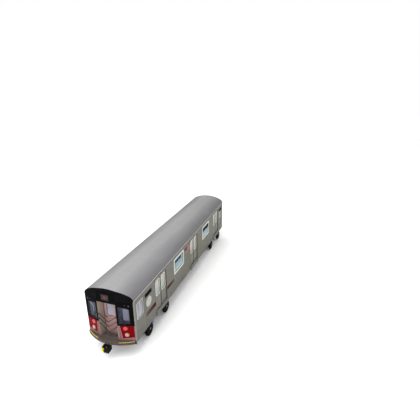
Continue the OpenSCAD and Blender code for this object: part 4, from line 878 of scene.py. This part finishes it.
# ------------------------------------------------------------------ bogies
def bogie(tag, px, sgn, body):
    """Fittings of one bogie; sgn is -1 where the bogie is turned round."""
    T = lambda x, y, z: (px + sgn * x, sgn * y, z)
    D = lambda x, y, z: (sgn * x, sgn * y, z)
    ir, cp, bl, rb, gl, pin = (Bag("%s_%s" % (tag, n), m, body) for n, m in (("bolts", M_IRON), ("hub_caps", M_CAP), ("dampers", M_BLUE), ("bellows", M_RUB), ("pipes", M_CAP), ("brake_blocks", M_IRON)))
    for t in (1, -1):
        for w in (1, -1):
            xa = w * WB
            c = (xa, t * 1.195, AXZ - 0.043)
            # rings and bolts on the round cover, and the pale cap on its boss
            annulus(ir, [(0.300, 0.0), (0.318, 0.0), (0.318, 0.006), (0.312, 0.009), (0.306, 0.009), (0.300, 0.006)], T(*c), D(0, t, 0), 48)
            annulus(ir, [(0.150, 0.0), (0.168, 0.0), (0.168, 0.008), (0.150, 0.008)], T(*c), D(0, t, 0), 40)
            for k in range(12):
                a = 2 * math.pi * k / 12 + 0.26
                bolt(ir, T(xa + 0.262 * math.cos(a), t * 1.195, AXZ - 0.043 + 0.262 * math.sin(a)), D(0, t, 0), 0.012, 0.010)
            for k in range(6):
                a = 2 * math.pi * k / 6
                o = Vector((xa + 0.215 * math.cos(a), t * 1.195, AXZ - 0.043 + 0.215 * math.sin(a)))
                u = Vector((math.cos(a), 0, math.sin(a))); v = Vector((-math.sin(a), 0, math.cos(a)))
                obox(ir, T(*(o + Vector((0, t * 0.003, 0)))), D(*u), (sgn * v.x, sgn * v.y, v.z), D(0, t, 0), 0.075, 0.016, 0.010, 0.003)
            oc = T(xa, t * 1.215, AXZ)
            lathe(cp, [(0.074, 0.0), (0.074, 0.004), (0.066, 0.009), (0.030, 0.012), (0.012, 0.012)], oc, D(0, t, 0), 32)
            for k in range(5):
                a = 2 * math.pi * k / 5 + 0.3
                bolt(cp, T(xa + 0.050 * math.cos(a), t * 1.2235, AXZ + 0.050 * math.sin(a)), D(0, t, 0), 0.007, 0.006)
            if w > 0 and (sgn > 0) == (t > 0):
                # short blue damper on the leading cover's face
                lathe(bl, [(0.019, 0), (0.024, 0.004), (0.024, 0.150), (0.019, 0.154)], T(xa - 0.335, t * 1.228, 0.632), D(0.999, 0, -0.03), 20)
                lathe(bl, [(0.030, 0), (0.030, 0.060), (0.026, 0.064)], T(xa - 0.345, t * 1.228, 0.632), D(0.999, 0, -0.03), 20)
                for dx in (-0.330, -0.185):
                    box(ir, *sorted((px + sgn * (xa + dx - 0.012), px + sgn * (xa + dx + 0.012))), *sorted((sgn * t * 1.1845, sgn * t * 1.2445)), 0.600, 0.652, 0.004)
            # bolts on the frame either side of each axle box
            x0 = w * 1.245
            for z in (0.33, 0.44): bolt(ir, T(x0, t * 1.0795, z), D(0, t, 0), 0.013, 0.010)
            x0 = w * 0.79
            for z in (0.33, 0.44): bolt(ir, T(x0, t * 1.0795, z), D(0, t, 0), 0.013, 0.010)
            # tread brake: block, hanger and cylinder behind the wheel
            xb = w * 0.560
            V = []
            pr = []
            for k in range(7):
                a = math.radians(-18 + 6 * k); pr.append((w * (WB - 0.438 * math.cos(a)), AXZ + 0.438 * math.sin(a)))
            q = pr + [(w * 0.545, pr[-1][1]), (w * 0.545, pr[0][1])]
            ar = sum(q[i - 1][0] * q[i][1] - q[i][0] * q[i - 1][1] for i in range(len(q)))
            n = len(q)
            vs = [T(a, t * 0.736, b) for a, b in q] + [T(a, t * 0.802, b) for a, b in q]
            fs = [(i, (i + 1) % n, n + (i + 1) % n, n + i) for i in range(n)] + [tuple(range(n))[::-1], tuple(range(n, 2 * n))]
            pos = (ar > 0) == (t > 0)
            pin.add(vs, [f[::-1] for f in fs] if pos else fs)
            ob = lambda x0, x1, y0, y1, z0, z1, bag=pin, b=0.004: box(bag, *sorted((px + sgn * x0, px + sgn * x1)), *sorted((sgn * t * y0, sgn * t * y1)), z0, z1, b)
            ob(w * 0.515, w * 0.547, 0.715, 0.780, 0.36, 0.60)
            ob(w * 0.470, w * 0.545, 0.700, 0.965, 0.585, 0.640)
            ob(w * 0.425, w * 0.516, 0.705, 0.790, 0.420, 0.530)
        # frame: ribs, inspection plates, pipe run and spring seats
        ob = lambda x0, x1, y0, y1, z0, z1, bag=ir, b=0.004: box(bag, *sorted((px + sgn * x0, px + sgn * x1)), *sorted((sgn * t * y0, sgn * t * y1)), z0, z1, b)
        for x in (-0.42, -0.21, 0.21, 0.42): ob(x - 0.009, x + 0.009, 1.079, 1.096, 0.565, 0.695)
        for x in (-0.33, 0.33):
            ob(x - 0.07, x + 0.07, 1.079, 1.086, 0.60, 0.67)
            for dx in (-0.055, 0.055): bolt(ir, T(x + dx, t * 1.0855, 0.635), D(0, t, 0), 0.008, 0.007)
        tube(gl, [T(0.29, t * 0.975, 0.711), T(0.60, t * 0.975, 0.711)], 0.010, 8)
        tube(gl, [T(-0.29, t * 0.975, 0.711), T(-0.60, t * 0.975, 0.711)], 0.010, 8)
        # air spring's bead rings and bolted seat
        for r, z in ((0.2415, 0.762), (0.2415, 0.868)):
            annulus(rb, [(0.236, -0.012), (0.246, -0.006), (0.248, 0.0), (0.246, 0.006), (0.236, 0.012)], T(0, t * 0.94, z), (0, 0, 1), 48)
        annulus(rb, [(0.238, -0.020), (0.241, -0.014), (0.241, 0.014), (0.238, 0.020)], T(0, t * 0.94, 0.815), (0, 0, 1), 48)
        for x in (-0.235, 0.235):
            for y in (0.885, 1.055): bolt(ir, T(x, t * y, 0.7145), (0, 0, 1), 0.011, 0.009)
        # damper lying along the frame
        a, b = Vector((0.40, t * 1.118, 0.665)), Vector((0.66, t * 1.118, 0.665))
        lathe(bl, [(0.030, 0), (0.034, 0.006), (0.034, 0.150), (0.030, 0.156)], T(0.44, t * 1.122, 0.672), D(1, 0, 0), 20)
        lathe(gl, [(0.014, 0), (0.014, 0.06)], T(0.595, t * 1.122, 0.672), D(1, 0, 0), 14)
        for x in (0.43, 0.655): ob(x - 0.014, x + 0.014, 1.078, 1.15, 0.645, 0.698)
    # motors: end bells and bolts; gear case bolts
    for w in (1, -1):
        M = lambda x, y, z: T(w * x, w * y, z)
        for k in range(9):
            y = -0.38 + 0.085 * k - 0.0
            if y > 0.30: continue
        lathe(ir, [(0.150, 0.0), (0.150, 0.010), (0.120, 0.018), (0.060, 0.018)], M(0.52, -0.440, 0.47), D(0, -w, 0), 32)
        for k in range(8):
            a = math.pi * k / 4 + 0.2
            bolt(ir, M(0.52 + 0.195 * math.cos(a), -0.4395, 0.47 + 0.195 * math.sin(a)), D(0, -w, 0), 0.013, 0.010)
        for k in range(7):
            a = math.radians(150 + 40 * k)
            bolt(ir, M(WB + 0.195 * math.cos(a), 0.4595, AXZ + 0.195 * math.sin(a)), D(0, w, 0), 0.010, 0.008)
        lathe(cp, [(0.030, 0), (0.030, 0.006), (0.020, 0.012), (0.020, 0.020)], M(WB - 0.10, 0.4595, AXZ - 0.13), D(0, w, 0), 14)
    for b in (ir, cp, bl, rb, gl, pin): b.done()
bogie("front_bogie", FX, 1, "front_bogie")
bogie("rear_bogie", RX, -1, "rear_bogie")

# ------------------------------------------------------------------ under the floor
lid, lat, louv, cond, clip = (Bag(n, m) for n, m in (("case_lids", M_CASE), ("case_latches", M_CAP), ("case_louvres", M_CASE), ("conduits", M_COUP), ("conduit_clips", M_CAP)))
for x0, x1, hw, z0 in ((1.15, 2.85, 0.93, 0.48), (-0.50, 0.70, 0.82, 0.56), (-2.95, -1.0, 0.93, 0.47)):
    n = 3 if x1 - x0 > 1.5 else 2
    w = (x1 - x0) / n
    for s in (1, -1):
        for k in range(n):
            a, b = x0 + w * k + 0.03, x0 + w * (k + 1) - 0.03
            if k == 1 or (n == 2 and k == 0 and s > 0):
                splate(lid, s, rr(a, b, z0 + 0.03, 0.925, 0.02), [rr(a + 0.04, b - 0.04, z0 + 0.07, 0.885, 0.01)], y=hw, t=0.014, bev=0.004)
                z = z0 + 0.085
                while z < 0.875:
                    obox(louv, (0.5 * (a + b), s * (hw + 0.006), z), (1, 0, 0), (0, s * 0.6, -0.8), (0, 0.8, s * 0.6), b - a - 0.084, 0.020, 0.004, 0.001); z += 0.028
            else:
                splate(lid, s, rr(a, b, z0 + 0.03, 0.925, 0.03), y=hw, t=0.014, bev=0.006)
                splate(lid, s, rr(a + 0.07, b - 0.07, z0 + 0.09, 0.865, 0.03), y=hw + 0.014, t=0.006, bev=0.005)
                for zz in (z0 + 0.055,):
                    for xx in (a + 0.08, b - 0.08):
                        splate(lat, s, rr(xx - 0.018, xx + 0.018, z0 + 0.038, z0 + 0.085, 0.006), y=hw + 0.014, t=0.010, bev=0.004)
                        tube(lat, bend([(xx - 0.012, s * (hw + 0.022), z0 + 0.06), (xx - 0.012, s * (hw + 0.036), z0 + 0.05), (xx + 0.012, s * (hw + 0.036), z0 + 0.05), (xx + 0.012, s * (hw + 0.022), z0 + 0.06)], 0.006), 0.003, 6)
                for xx in (a + 0.10, b - 0.10):
                    lathe(lat, [(0.010, -0.030), (0.010, 0.030)], (xx, s * (hw + 0.016), 0.928), (1, 0, 0), 10)
            for xx in (a + 0.02, b - 0.02):
                for zz in (z0 + 0.05, 0.905): bolt(lat, (xx, s * (hw + 0.0135), zz), (0, s, 0), 0.006, 0.005)
    for k in range(n):
        a, b = x0 + w * k + 0.05, x0 + w * (k + 1) - 0.05
        for s in (1, -1):
            plate(lid, rr(a, b, s * hw * 0.5 - hw * 0.42, s * hw * 0.5 + hw * 0.42, 0.04), (), (0, 0, z0), (1, 0, 0), (0, -1, 0), t=0.010, bev=0.004)
            for xx in (a + 0.03, b - 0.03):
                for yy in (-hw * 0.38, 0, hw * 0.38): bolt(lat, (xx, -s * hw * 0.5 + yy, z0 - 0.0098), (0, 0, -1), 0.008, 0.007)
for s in (1, -1):
    for dy, z, r in ((1.02, 0.932, 0.018), (1.065, 0.9345, 0.0155), (1.105, 0.937, 0.013)):
        tube(cond, bend([(-3.30, s * dy, 0.985), (-3.22, s * dy, z), (3.22, s * dy, z), (3.30, s * dy, 0.985)], 0.06), r, 12)
    for k in range(11):
        x = -3.1 + 0.62 * k
        box(clip, x - 0.018, x + 0.018, *sorted((s * 0.992, s * 1.128)), 0.9485, 0.954, 0.001)
        box(clip, x - 0.014, x + 0.014, *sorted((s * 0.995, s * 1.125)), 0.909, 0.9145, 0.002)
        for yy in (0.998, 1.0425, 1.0865, 1.122): box(clip, x - 0.010, x + 0.010, *sorted((s * (yy - 0.0025), s * (yy + 0.0025))), 0.912, 0.95, 0.001)
    # straps and drain on each reservoir
    for x in (-0.87, -0.73): annulus(cond, [(0.149, -0.018), (0.156, -0.018), (0.156, 0.018), (0.149, 0.018)], (x, s * 0.54, 0.76), (1, 0, 0), 36)
    lathe(lat, [(0.020, 0), (0.020, 0.018), (0.012, 0.022), (0.012, 0.045)], (-0.80, s * 0.54, 0.612), (0, 0, -1), 12)
    tube(cond, bend([(-0.80, s * 0.40, 0.80), (-0.80, s * 0.36, 0.80), (-0.80, s * 0.36, 0.97), (-0.80, s * 0.30, 1.005)], 0.03), 0.010, 8)
# main pipe along the middle with its end cocks
for s in (1, -1):
    tube(cond, bend([(7.16, s * 0.24, 0.91), (7.45, s * 0.24, 0.91), (7.50, s * 0.24, 0.845), (7.62, s * 0.24, 0.80)], 0.04), 0.016, 10)
    lathe(lat, [(0.026, 0), (0.026, 0.05), (0.018, 0.058)], (7.60, s * 0.24, 0.807), (0.95, 0, -0.3), 14)
    tube(cond, bend([(-7.20 - 0.2, s * 0.24, 0.91), (-7.50, s * 0.24, 0.91), (-7.56, s * 0.24, 0.84), (-7.66, s * 0.24, 0.80)], 0.04), 0.016, 10)
    lathe(lat, [(0.026, 0), (0.026, 0.05), (0.018, 0.058)], (-7.64, s * 0.24, 0.808), (-0.95, 0, -0.3), 14)
for b in (lid, lat, louv, cond, clip): b.done()

# ------------------------------------------------------------------ rear end
rt, rg, rk, rm, rr_ = (Bag(n, m) for n, m in (("rear_trim", M_TRIM), ("rear_gaskets", M_GASKET), ("rear_fittings", M_COUP), ("rear_seams", M_SEAM), ("rear_lamp_lenses", M_LRED)))
def rplate(bag, outer, holes=(), x=-HL, **k):
    f = lambda P: [(-a, b) for a, b in P]
    plate(bag, f(outer), [f(h) for h in holes], (x, 0, 0), (0, -1, 0), (0, 0, 1), **k)
for s in (1, -1):
    a, b = sorted((s * 0.62, s * 1.08))
    rplate(rt, rr(a - 0.022, b + 0.022, 1.978, 2.882, 0.07), [rr(a + 0.014, b - 0.014, 2.014, 2.846, 0.05)], base=-0.010, t=0.018, bev=0.005)
    rplate(rg, rr(a + 0.013, b - 0.013, 2.013, 2.847, 0.05), [rr(a + 0.026, b - 0.026, 2.026, 2.834, 0.045)], base=-0.012, t=0.013, bev=0.004)
    box(rm, -7.526, -7.519, *sorted((s * 0.38, s * 0.425)), 1.10, 3.0, 0.002)
    for z in (1.84, 3.03): box(rm, -7.524, -7.519, *sorted((s * 0.43, s * 1.28)), z - 0.018, z + 0.018, 0.0015)
    y = 0.47
    while y < 1.27:
        for z in (1.84, 3.03): rivet(rm, (-7.5238, s * y, z), (-1, 0, 0), 0.006, 0.003)
        y += 0.075
    z = 1.16
    while z < 3.0:
        rivet(rm, (-7.5258, s * 0.402, z), (-1, 0, 0), 0.006, 0.003); z += 0.09
    # marker lamps, hand rail, steps and cable sockets
    for z in (3.09, ):
        o = (-7.52, s * 1.02, z)
        annulus(rk, [(0.040, 0.0), (0.056, 0.0), (0.054, 0.016), (0.044, 0.020), (0.040, 0.012)], o, (-1, 0, 0), 28)
        lathe(rr_, [(0.0405, 0.0), (0.038, 0.012), (0.026, 0.020), (0.010, 0.024)], o, (-1, 0, 0), 24)
    tube(rt, bend([(-7.52, s * 0.50, 1.30), (-7.575, s * 0.50, 1.30), (-7.575, s * 0.50, 1.95), (-7.52, s * 0.50, 1.95)], 0.035), 0.011, 12)
    for z in (1.30, 1.95): lathe(rt, [(0.026, 0), (0.026, 0.004), (0.018, 0.009)], (-7.52, s * 0.50, z), (-1, 0, 0), 16)
    for z in (1.20, 1.50, 1.80):
        tube(rk, bend([(-7.52, s * 1.02, z), (-7.60, s * 1.02, z), (-7.60, s * 1.22, z), (-7.52, s * 1.22, z)], 0.02), 0.010, 10)
    lathe(rk, [(0.070, 0), (0.070, 0.018), (0.056, 0.026), (0.056, 0.060), (0.050, 0.066)], (-7.52, s * 0.76, 1.30), (-1, 0, 0), 28)
    box(rk, -7.592, -7.584, *sorted((s * 0.72, s * 0.80)), 1.335, 1.360, 0.003)
    for k in range(6): bolt(rk, (-7.60, s * (0.15 + 0.155 * k), 0.9949), (0, 0, 1), 0.012, 0.009)
rplate(rm, rr(-0.43, 0.43, 2.975, 3.02, 0.01), (), t=0.007, bev=0.002)
rplate(rk, rr(-0.36, 0.36, 3.10, 3.16, 0.02), (), t=0.05, bev=0.012)
for b in (rt, rg, rk, rm, rr_): b.done()

# ------------------------------------------------------------------ saloon and cab
pad, lit, dr, dk, kn, sc_ = (Bag(n, m) for n, m in (("seat_shells", M_ORANGE), ("ceiling_lights", None), ("partition_door", M_LIN), ("desk_fittings", M_SIGN), ("interior_bright", M_POLE), ("desk_keys", M_CAP)))
_l = Mat("CeilingLight"); lit.mat = _l.set(_l.mix(_l.ramp(_l.noise(8, (1, 1, 1), 3), 0.3, 0.7), (0.84, 0.85, 0.82), (0.94, 0.94, 0.90)), 0.35, 0.0, _l.bump(_l.noise(60, (1, 12, 1), 1), 0.0008), **{"Emission Color": (1.0, 0.97, 0.9, 1), "Emission Strength": 1.6})
for x0, x1 in ((0.47, 3.73), (-4.63, -1.40), (-7.34, -6.42)):
    n = max(2, round((x1 - x0) / 0.465)); w = (x1 - x0) / n
    for s in (1, -1):
        for k in range(n):
            a, b = x0 + w * k + 0.012, x0 + w * (k + 1) - 0.012
            # seat part and back part, each a dished shell
            V, F = [], []
            NU, NV = 8, 12
            prof = [(0.772, 1.546), (0.790, 1.562), (0.86, 1.566), (0.95, 1.560), (1.03, 1.554), (1.075, 1.556), (1.100, 1.575), (1.114, 1.62), (1.121, 1.72), (1.129, 1.83), (1.136, 1.915), (1.146, 1.938), (1.165, 1.953)]
            for j, (y, z) in enumerate(prof):
                for i in range(NU + 1):
                    u = i / NU; e = 4 * u * (1 - u); e = e ** 0.35
                    x = a + (b - a) * u
                    lift = 0.016 * (1 - e)
                    seat = j < 6
                    V.append((x, s * (y - (0 if seat else lift)), z + (lift if seat else 0.002)))
            m = NU + 1
            for j in range(len(prof) - 1):
                for i in range(NU): F.append((j * m + i, j * m + i + 1, (j + 1) * m + i + 1, (j + 1) * m + i))
            nv = len(V)
            V += [(p[0], p[1] + s * (0.004 if q // m >= 6 else 0.0), p[2] - (0.006 if q // m < 6 else 0.0)) if True else p for q, p in enumerate(V)]
            V[nv:] = [(p[0], p[1] + s * 0.006, p[2] - 0.006) for p in V[:nv]]
            G = [tuple(i + nv for i in f[::-1]) for f in F]
            rim = [i for i in range(m)] + [j * m + NU for j in range(1, len(prof))] + [(len(prof) - 1) * m + i for i in range(NU - 1, -1, -1)] + [j * m for j in range(len(prof) - 2, 0, -1)]
            H = [(rim[i], rim[(i + 1) % len(rim)], rim[(i + 1) % len(rim)] + nv, rim[i] + nv) for i in range(len(rim))]
            allf = F + G + [h[::-1] for h in H]
            pad.add(V, allf if s > 0 else [f[::-1] for f in allf])
    # lamps on both sides of the ceiling
    for s in (1, -1):
        m_ = max(1, round((x1 - x0) / 0.8)); w = (x1 - x0) / m_
        for k in range(m_):
            a, b = x0 + w * k + 0.02, x0 + w * (k + 1) - 0.02
for s in (1, -1):
    x = -7.2
    while x < 5.9:
        box(lit, x, x + 1.16, *sorted((s * 0.42, s * 0.60)), 3.500, 3.545, 0.012)
        box(kn, x - 0.014, x, *sorted((s * 0.41, s * 0.61)), 3.495, 3.552, 0.003)
        x += 1.19
for s in (1, -1):
    for x0, x1 in ((0.47, 3.73), (-4.63, -1.40), (-7.34, -6.42)):
        for x in (x0 - 0.03 + (0.06 if x0 < -7 else 0), (x0 + x1) / 2, x1 + 0.03):
            annulus(kn, [(0.0175, 0.0), (0.036, 0.0), (0.034, 0.006), (0.0175, 0.012)], (x, s * 0.734, 1.1), (0, 0, 1), 24)
            annulus(kn, [(0.0175, -0.03), (0.024, -0.026), (0.024, 0.010), (0.0175, 0.014)], (x, s * 0.734, 2.97), (0, 0, 1), 20)
# door in the cab's wall, with its frame, handle and hinges
for xs, d in ((6.16, -1), (6.20, 1)):
    plate(dr, rr(-0.33, 0.33, 1.13, 3.02, 0.03), [rr(-0.235, 0.235, 1.935, 2.765, 0.06)], (xs, 0, 0), (0, d, 0), (0, 0, 1), t=0.006, bev=0.003)
    plate(kn, rr(-0.2345, 0.2345, 1.9355, 2.7645, 0.06), [rr(-0.212, 0.212, 1.958, 2.742, 0.045)], (xs, 0, 0), (0, d, 0), (0, 0, 1), t=0.010, bev=0.004)
    lathe(kn, [(0.026, 0.006), (0.026, 0.012), (0.012, 0.016), (0.012, 0.040), (0.024, 0.046), (0.026, 0.060), (0.018, 0.066)], (xs, 0.28, 2.05), (d, 0, 0), 20)
    for z in (1.35, 2.05, 2.80): lathe(kn, [(0.011, -0.05), (0.011, 0.05)], (xs + d * 0.006, -0.335, z), (0, 0, 1), 12)
    for s in (1, -1):
        plate(kn, rr(*sorted((s * 0.545, s * 1.075)), 1.935, 2.765, 0.06), [rr(*sorted((s * 0.572, s * 1.048)), 1.962, 2.738, 0.045)], (xs, 0, 0), (0, d, 0), (0, 0, 1), t=0.008, bev=0.003)
pgl = Bag("partition_glass", glassy("PartitionGlass", srgb(206, 216, 216), 0.22, 0.06))
for y0, y1 in ((0.561, 1.059), (-1.059, -0.561), (-0.2195, 0.2195)): plate(pgl, rr(y0, y1, 1.951, 2.749, 0.049), (), (6.180, 0, 0), (0, 1, 0), (0, 0, 1), base=-0.003, t=0.006)
pgl.done()
# desk: dials, keys, brake handle and knob; the faces are blank
n3 = Vector((-0.238, 0, 0.971))  # normal of the desk's upper slope
def dpt(x, y, h=0.0):
    z = 1.80 + (x - 7.04) * (0.10 / 0.32); return Vector((x, y, z)) + Vector((-0.298, 0, 0.9545)) * h
for y, r in ((-0.72, 0.055), (-0.86 + 0.02, 0.0), (-0.98, 0.055), (-1.10, 0.045)):
    if r:
        annulus(dk, [(r - 0.008, -0.002), (r + 0.004, -0.002), (r + 0.003, 0.014), (r - 0.004, 0.018), (r - 0.008, 0.010)], dpt(7.27, y), (-0.298, 0, 0.9545), 28)
        lathe(kn, [(r - 0.008, -0.001), (r - 0.008, 0.004), (0.004, 0.004)], dpt(7.27, y), (-0.298, 0, 0.9545), 24)
        obox(dk, dpt(7.27, y - 0.012, 0.0055), (0.6, 0.8, 0.187), (-0.8, 0.6, -0.25), (-0.298, 0, 0.9545), 0.005, r * 1.1, 0.0015, 0.0005)
for i in range(4):
    for j in range(5):
        obox(sc_, dpt(7.10 + 0.028 * i, -0.66 - 0.024 * j, 0.002), (0.9545, 0, 0.298), (0, 1, 0), (-0.298, 0, 0.9545), 0.018, 0.016, 0.012, 0.003)
lathe(dk, [(0.010, 0), (0.026, 0.006), (0.034, 0.024), (0.030, 0.044), (0.014, 0.052)], Vector((7.12, -0.86, 1.80)) + Vector((-0.2756, 0, 0.9613)) * 0.146, (-0.2756, 0, 0.9613), 24)
for b in (pad, lit, dr, dk, kn, sc_):
    if b.v: b.done()

# cab seat: sewn cushion and back pad, crowned between their seams
def cushion(name, c, ux, uy, uz, sx, sy, sz, fold, body="car_body"):
    """A crowned pad about c: its sides pull in between the corners and a sewn channel crosses it."""
    V, F = [], []
    N, K = 26, 26
    c, ux, uy, uz = Vector(c), Vector(ux).normalized(), Vector(uy).normalized(), Vector(uz).normalized()
    def top(u, v):
        e = max(0.0, (1 - abs(u) ** 5) * (1 - abs(v) ** 5)) ** 0.5
        ch = 0.0
        for f in fold: ch += math.exp(-((u - f) / 0.045) ** 2) * 0.30
        wr = 0.03 * math.sin(7 * u + 3 * v * v) * (1 - e)
        return max(0.0, e * (0.86 + 0.14 * (1 - u * u) * (1 - v * v)) - ch * e + wr * e)
    def shape(u, v):
        pull = 1 - 0.035 * (1 - abs(v) ** 2); pull2 = 1 - 0.035 * (1 - abs(u) ** 2)
        # squircle map keeps the corners round
        a = u * math.sqrt(max(0.0, 1 - 0.10 * v * v)) * pull; b = v * math.sqrt(max(0.0, 1 - 0.10 * u * u)) * pull2
        return a * sx / 2, b * sy / 2
    idx = {}
    for side in (1, 0):
        for i in range(N + 1):
            for j in range(K + 1):
                u, v = math.sin(math.pi / 2 * (2 * i / N - 1)), math.sin(math.pi / 2 * (2 * j / K - 1))
                edge = i in (0, N) or j in (0, K)
                if edge and not side: idx[(0, i, j)] = idx[(1, i, j)]; continue
                a, b = shape(u, v)
                h = top(u, v) * (sz * 0.62 if side else -sz * 0.38 * 0.9)
                if not side: h = -sz * 0.38 * min(1.0, max(0.0, (1 - abs(u) ** 9) * (1 - abs(v) ** 9)) ** 0.5)
                idx[(side, i, j)] = len(V); V.append(c + ux * a + uy * b + uz * h)
    for i in range(N):
        for j in range(K):
            q = [idx[(1, i, j)], idx[(1, i + 1, j)], idx[(1, i + 1, j + 1)], idx[(1, i, j + 1)]]
            F.append(tuple(q))
            q = [idx[(0, i, j)], idx[(0, i, j + 1)], idx[(0, i + 1, j + 1)], idx[(0, i + 1, j)]]
            F.append(tuple(q))
    G = []
    for f in F:
        g = [x for k, x in enumerate(f) if x != f[k - 1]]
        if len(set(g)) >= 3: G.append(tuple(g))
    bg = Bag(name, M_CLOTH, body, angle=70); bg.add(V, G); ob = bg.done()
    # piping along the seam
    pts = []
    for i in range(0, N): pts.append((i, 0))
    for j in range(0, K): pts.append((N, j))
    for i in range(N, 0, -1): pts.append((i, K))
    for j in range(K, 0, -1): pts.append((0, j))
    pp = []
    for i, j in pts:
        u, v = math.sin(math.pi / 2 * (2 * i / N - 1)), math.sin(math.pi / 2 * (2 * j / K - 1)); a, b = shape(u, v)
        p = c + ux * a + uy * b
        if not pp or (p - pp[-1]).length > 0.004: pp.append(p)
    if (pp[0] - pp[-1]).length < 0.004: pp.pop()
    pb = Bag(name + "_piping", M_PIPE, body); tube(pb, pp, 0.004, 8, True); pb.done()
M_CLOTH = Mat("SeatCloth")
_a = M_CLOTH.noise(420, (1, 1, 1), 2); _b = M_CLOTH.noise(3, (1, 1, 1), 5)
_wv = M_CLOTH.node("ShaderNodeTexWave", wave_type="BANDS", bands_direction="Y"); _wv.inputs["Scale"].default_value = 180; M_CLOTH.link(M_CLOTH.co, _wv.inputs["Vector"])
_wx = M_CLOTH.node("ShaderNodeTexWave", wave_type="BANDS", bands_direction="X"); _wx.inputs["Scale"].default_value = 180; M_CLOTH.link(M_CLOTH.co, _wx.inputs["Vector"])
_w2 = M_CLOTH.mth("MULTIPLY", _wv.outputs["Fac"], _wx.outputs["Fac"])
M_CLOTH = M_CLOTH.set(M_CLOTH.mix(M_CLOTH.ramp(M_CLOTH.mth("ADD", M_CLOTH.mth("MULTIPLY", _w2, 0.5), _b), 0.3, 1.0), (0.016, 0.018, 0.026), (0.05, 0.054, 0.07)), 0.86, 0.0, M_CLOTH.bump(M_CLOTH.mth("ADD", _w2, _a), 0.0006), **{"Sheen Weight": 0.25})
M_PIPE = rubber("SeatPiping", (0.012, 0.012, 0.014), 0.7)
cushion("cab_seat_cushion", (6.745, -0.86, 1.6115), (1, 0, 0), (0, 1, 0), (0, 0, 1), 0.34, 0.40, 0.060, (-0.35, 0.35))
cushion("cab_seat_back_pad", (6.5525, -0.86, 1.955), (-0.0678, 0, 0.9977), (0, 1, 0), (0.9977, 0, 0.0678), 0.50, 0.40, 0.056, (-0.4, 0.1))
# ------------------------------------------------------------------ camera, light and floor
def finish_scene():
    cam = bpy.data.objects.new("Camera", bpy.data.cameras.new("Camera"))
    SC.collection.objects.link(cam); SC.camera = cam
    cam.data.sensor_width = 36; cam.data.lens = 28.197; cam.data.clip_end = 400
    ya, p, ro = math.radians(197.81548566), math.radians(-20.0732135), math.radians(0.0984788)
    d = Vector((math.cos(p) * math.cos(ya), math.cos(p) * math.sin(ya), math.sin(p)))
    r = d.cross(Vector((0, 0, 1))).normalized(); u = r.cross(d)
    r2, u2 = r * math.cos(ro) + u * math.sin(ro), u * math.cos(ro) - r * math.sin(ro)
    M = Matrix((r2, u2, -d)).transposed().to_4x4(); M.translation = (18.52441657, 8.56150186, 12.35276098)
    cam.matrix_world = M
    for nm, e, size, loc, aim in (("Key", 1900, 14, (12, 0, 18), (1, 0, 1)), ("Front", 900, 10, (22, -4, 7), (5, 0, 1.5)), ("Side", 150, 14, (0, 20, 7), (-1, 0, 1.5)), ("Back", 500, 14, (-16, -10, 14), (0, 0, 1))):
        L = bpy.data.lights.new(nm, "AREA"); L.energy = e; L.size = size
        o = bpy.data.objects.new(nm, L); SC.collection.objects.link(o)
        o.location = loc; o.rotation_euler = (Vector(aim) - Vector(loc)).to_track_quat("-Z", "Y").to_euler()
    w = bpy.data.worlds.new("World"); SC.world = w; w.use_nodes = True
    w.node_tree.nodes["Background"].inputs[0].default_value = (1, 1, 1, 1)
    w.node_tree.nodes["Background"].inputs[1].default_value = 1.0
    SC.view_settings.view_transform = "Standard"
    SC.view_settings.gamma = 0.82
    me = bpy.data.meshes.new("Floor"); me.from_pydata([(-150, -150, 0), (150, -150, 0), (150, 150, 0), (-150, 150, 0)], [], [(0, 1, 2, 3)])
    f = bpy.data.objects.new("Floor", me); SC.collection.objects.link(f)
    m = Mat("FloorPale"); me.materials.append(m.set(m.mix(m.ramp(m.noise(0.6, (1, 1, 1), 4), 0.3, 0.7), (0.90, 0.90, 0.90), (0.93, 0.93, 0.93)), 0.9, 0.0, None, **{"Specular IOR Level": 0.1, "Emission Color": (1, 1, 1, 1), "Emission Strength": 0.12}))
finish_scene()
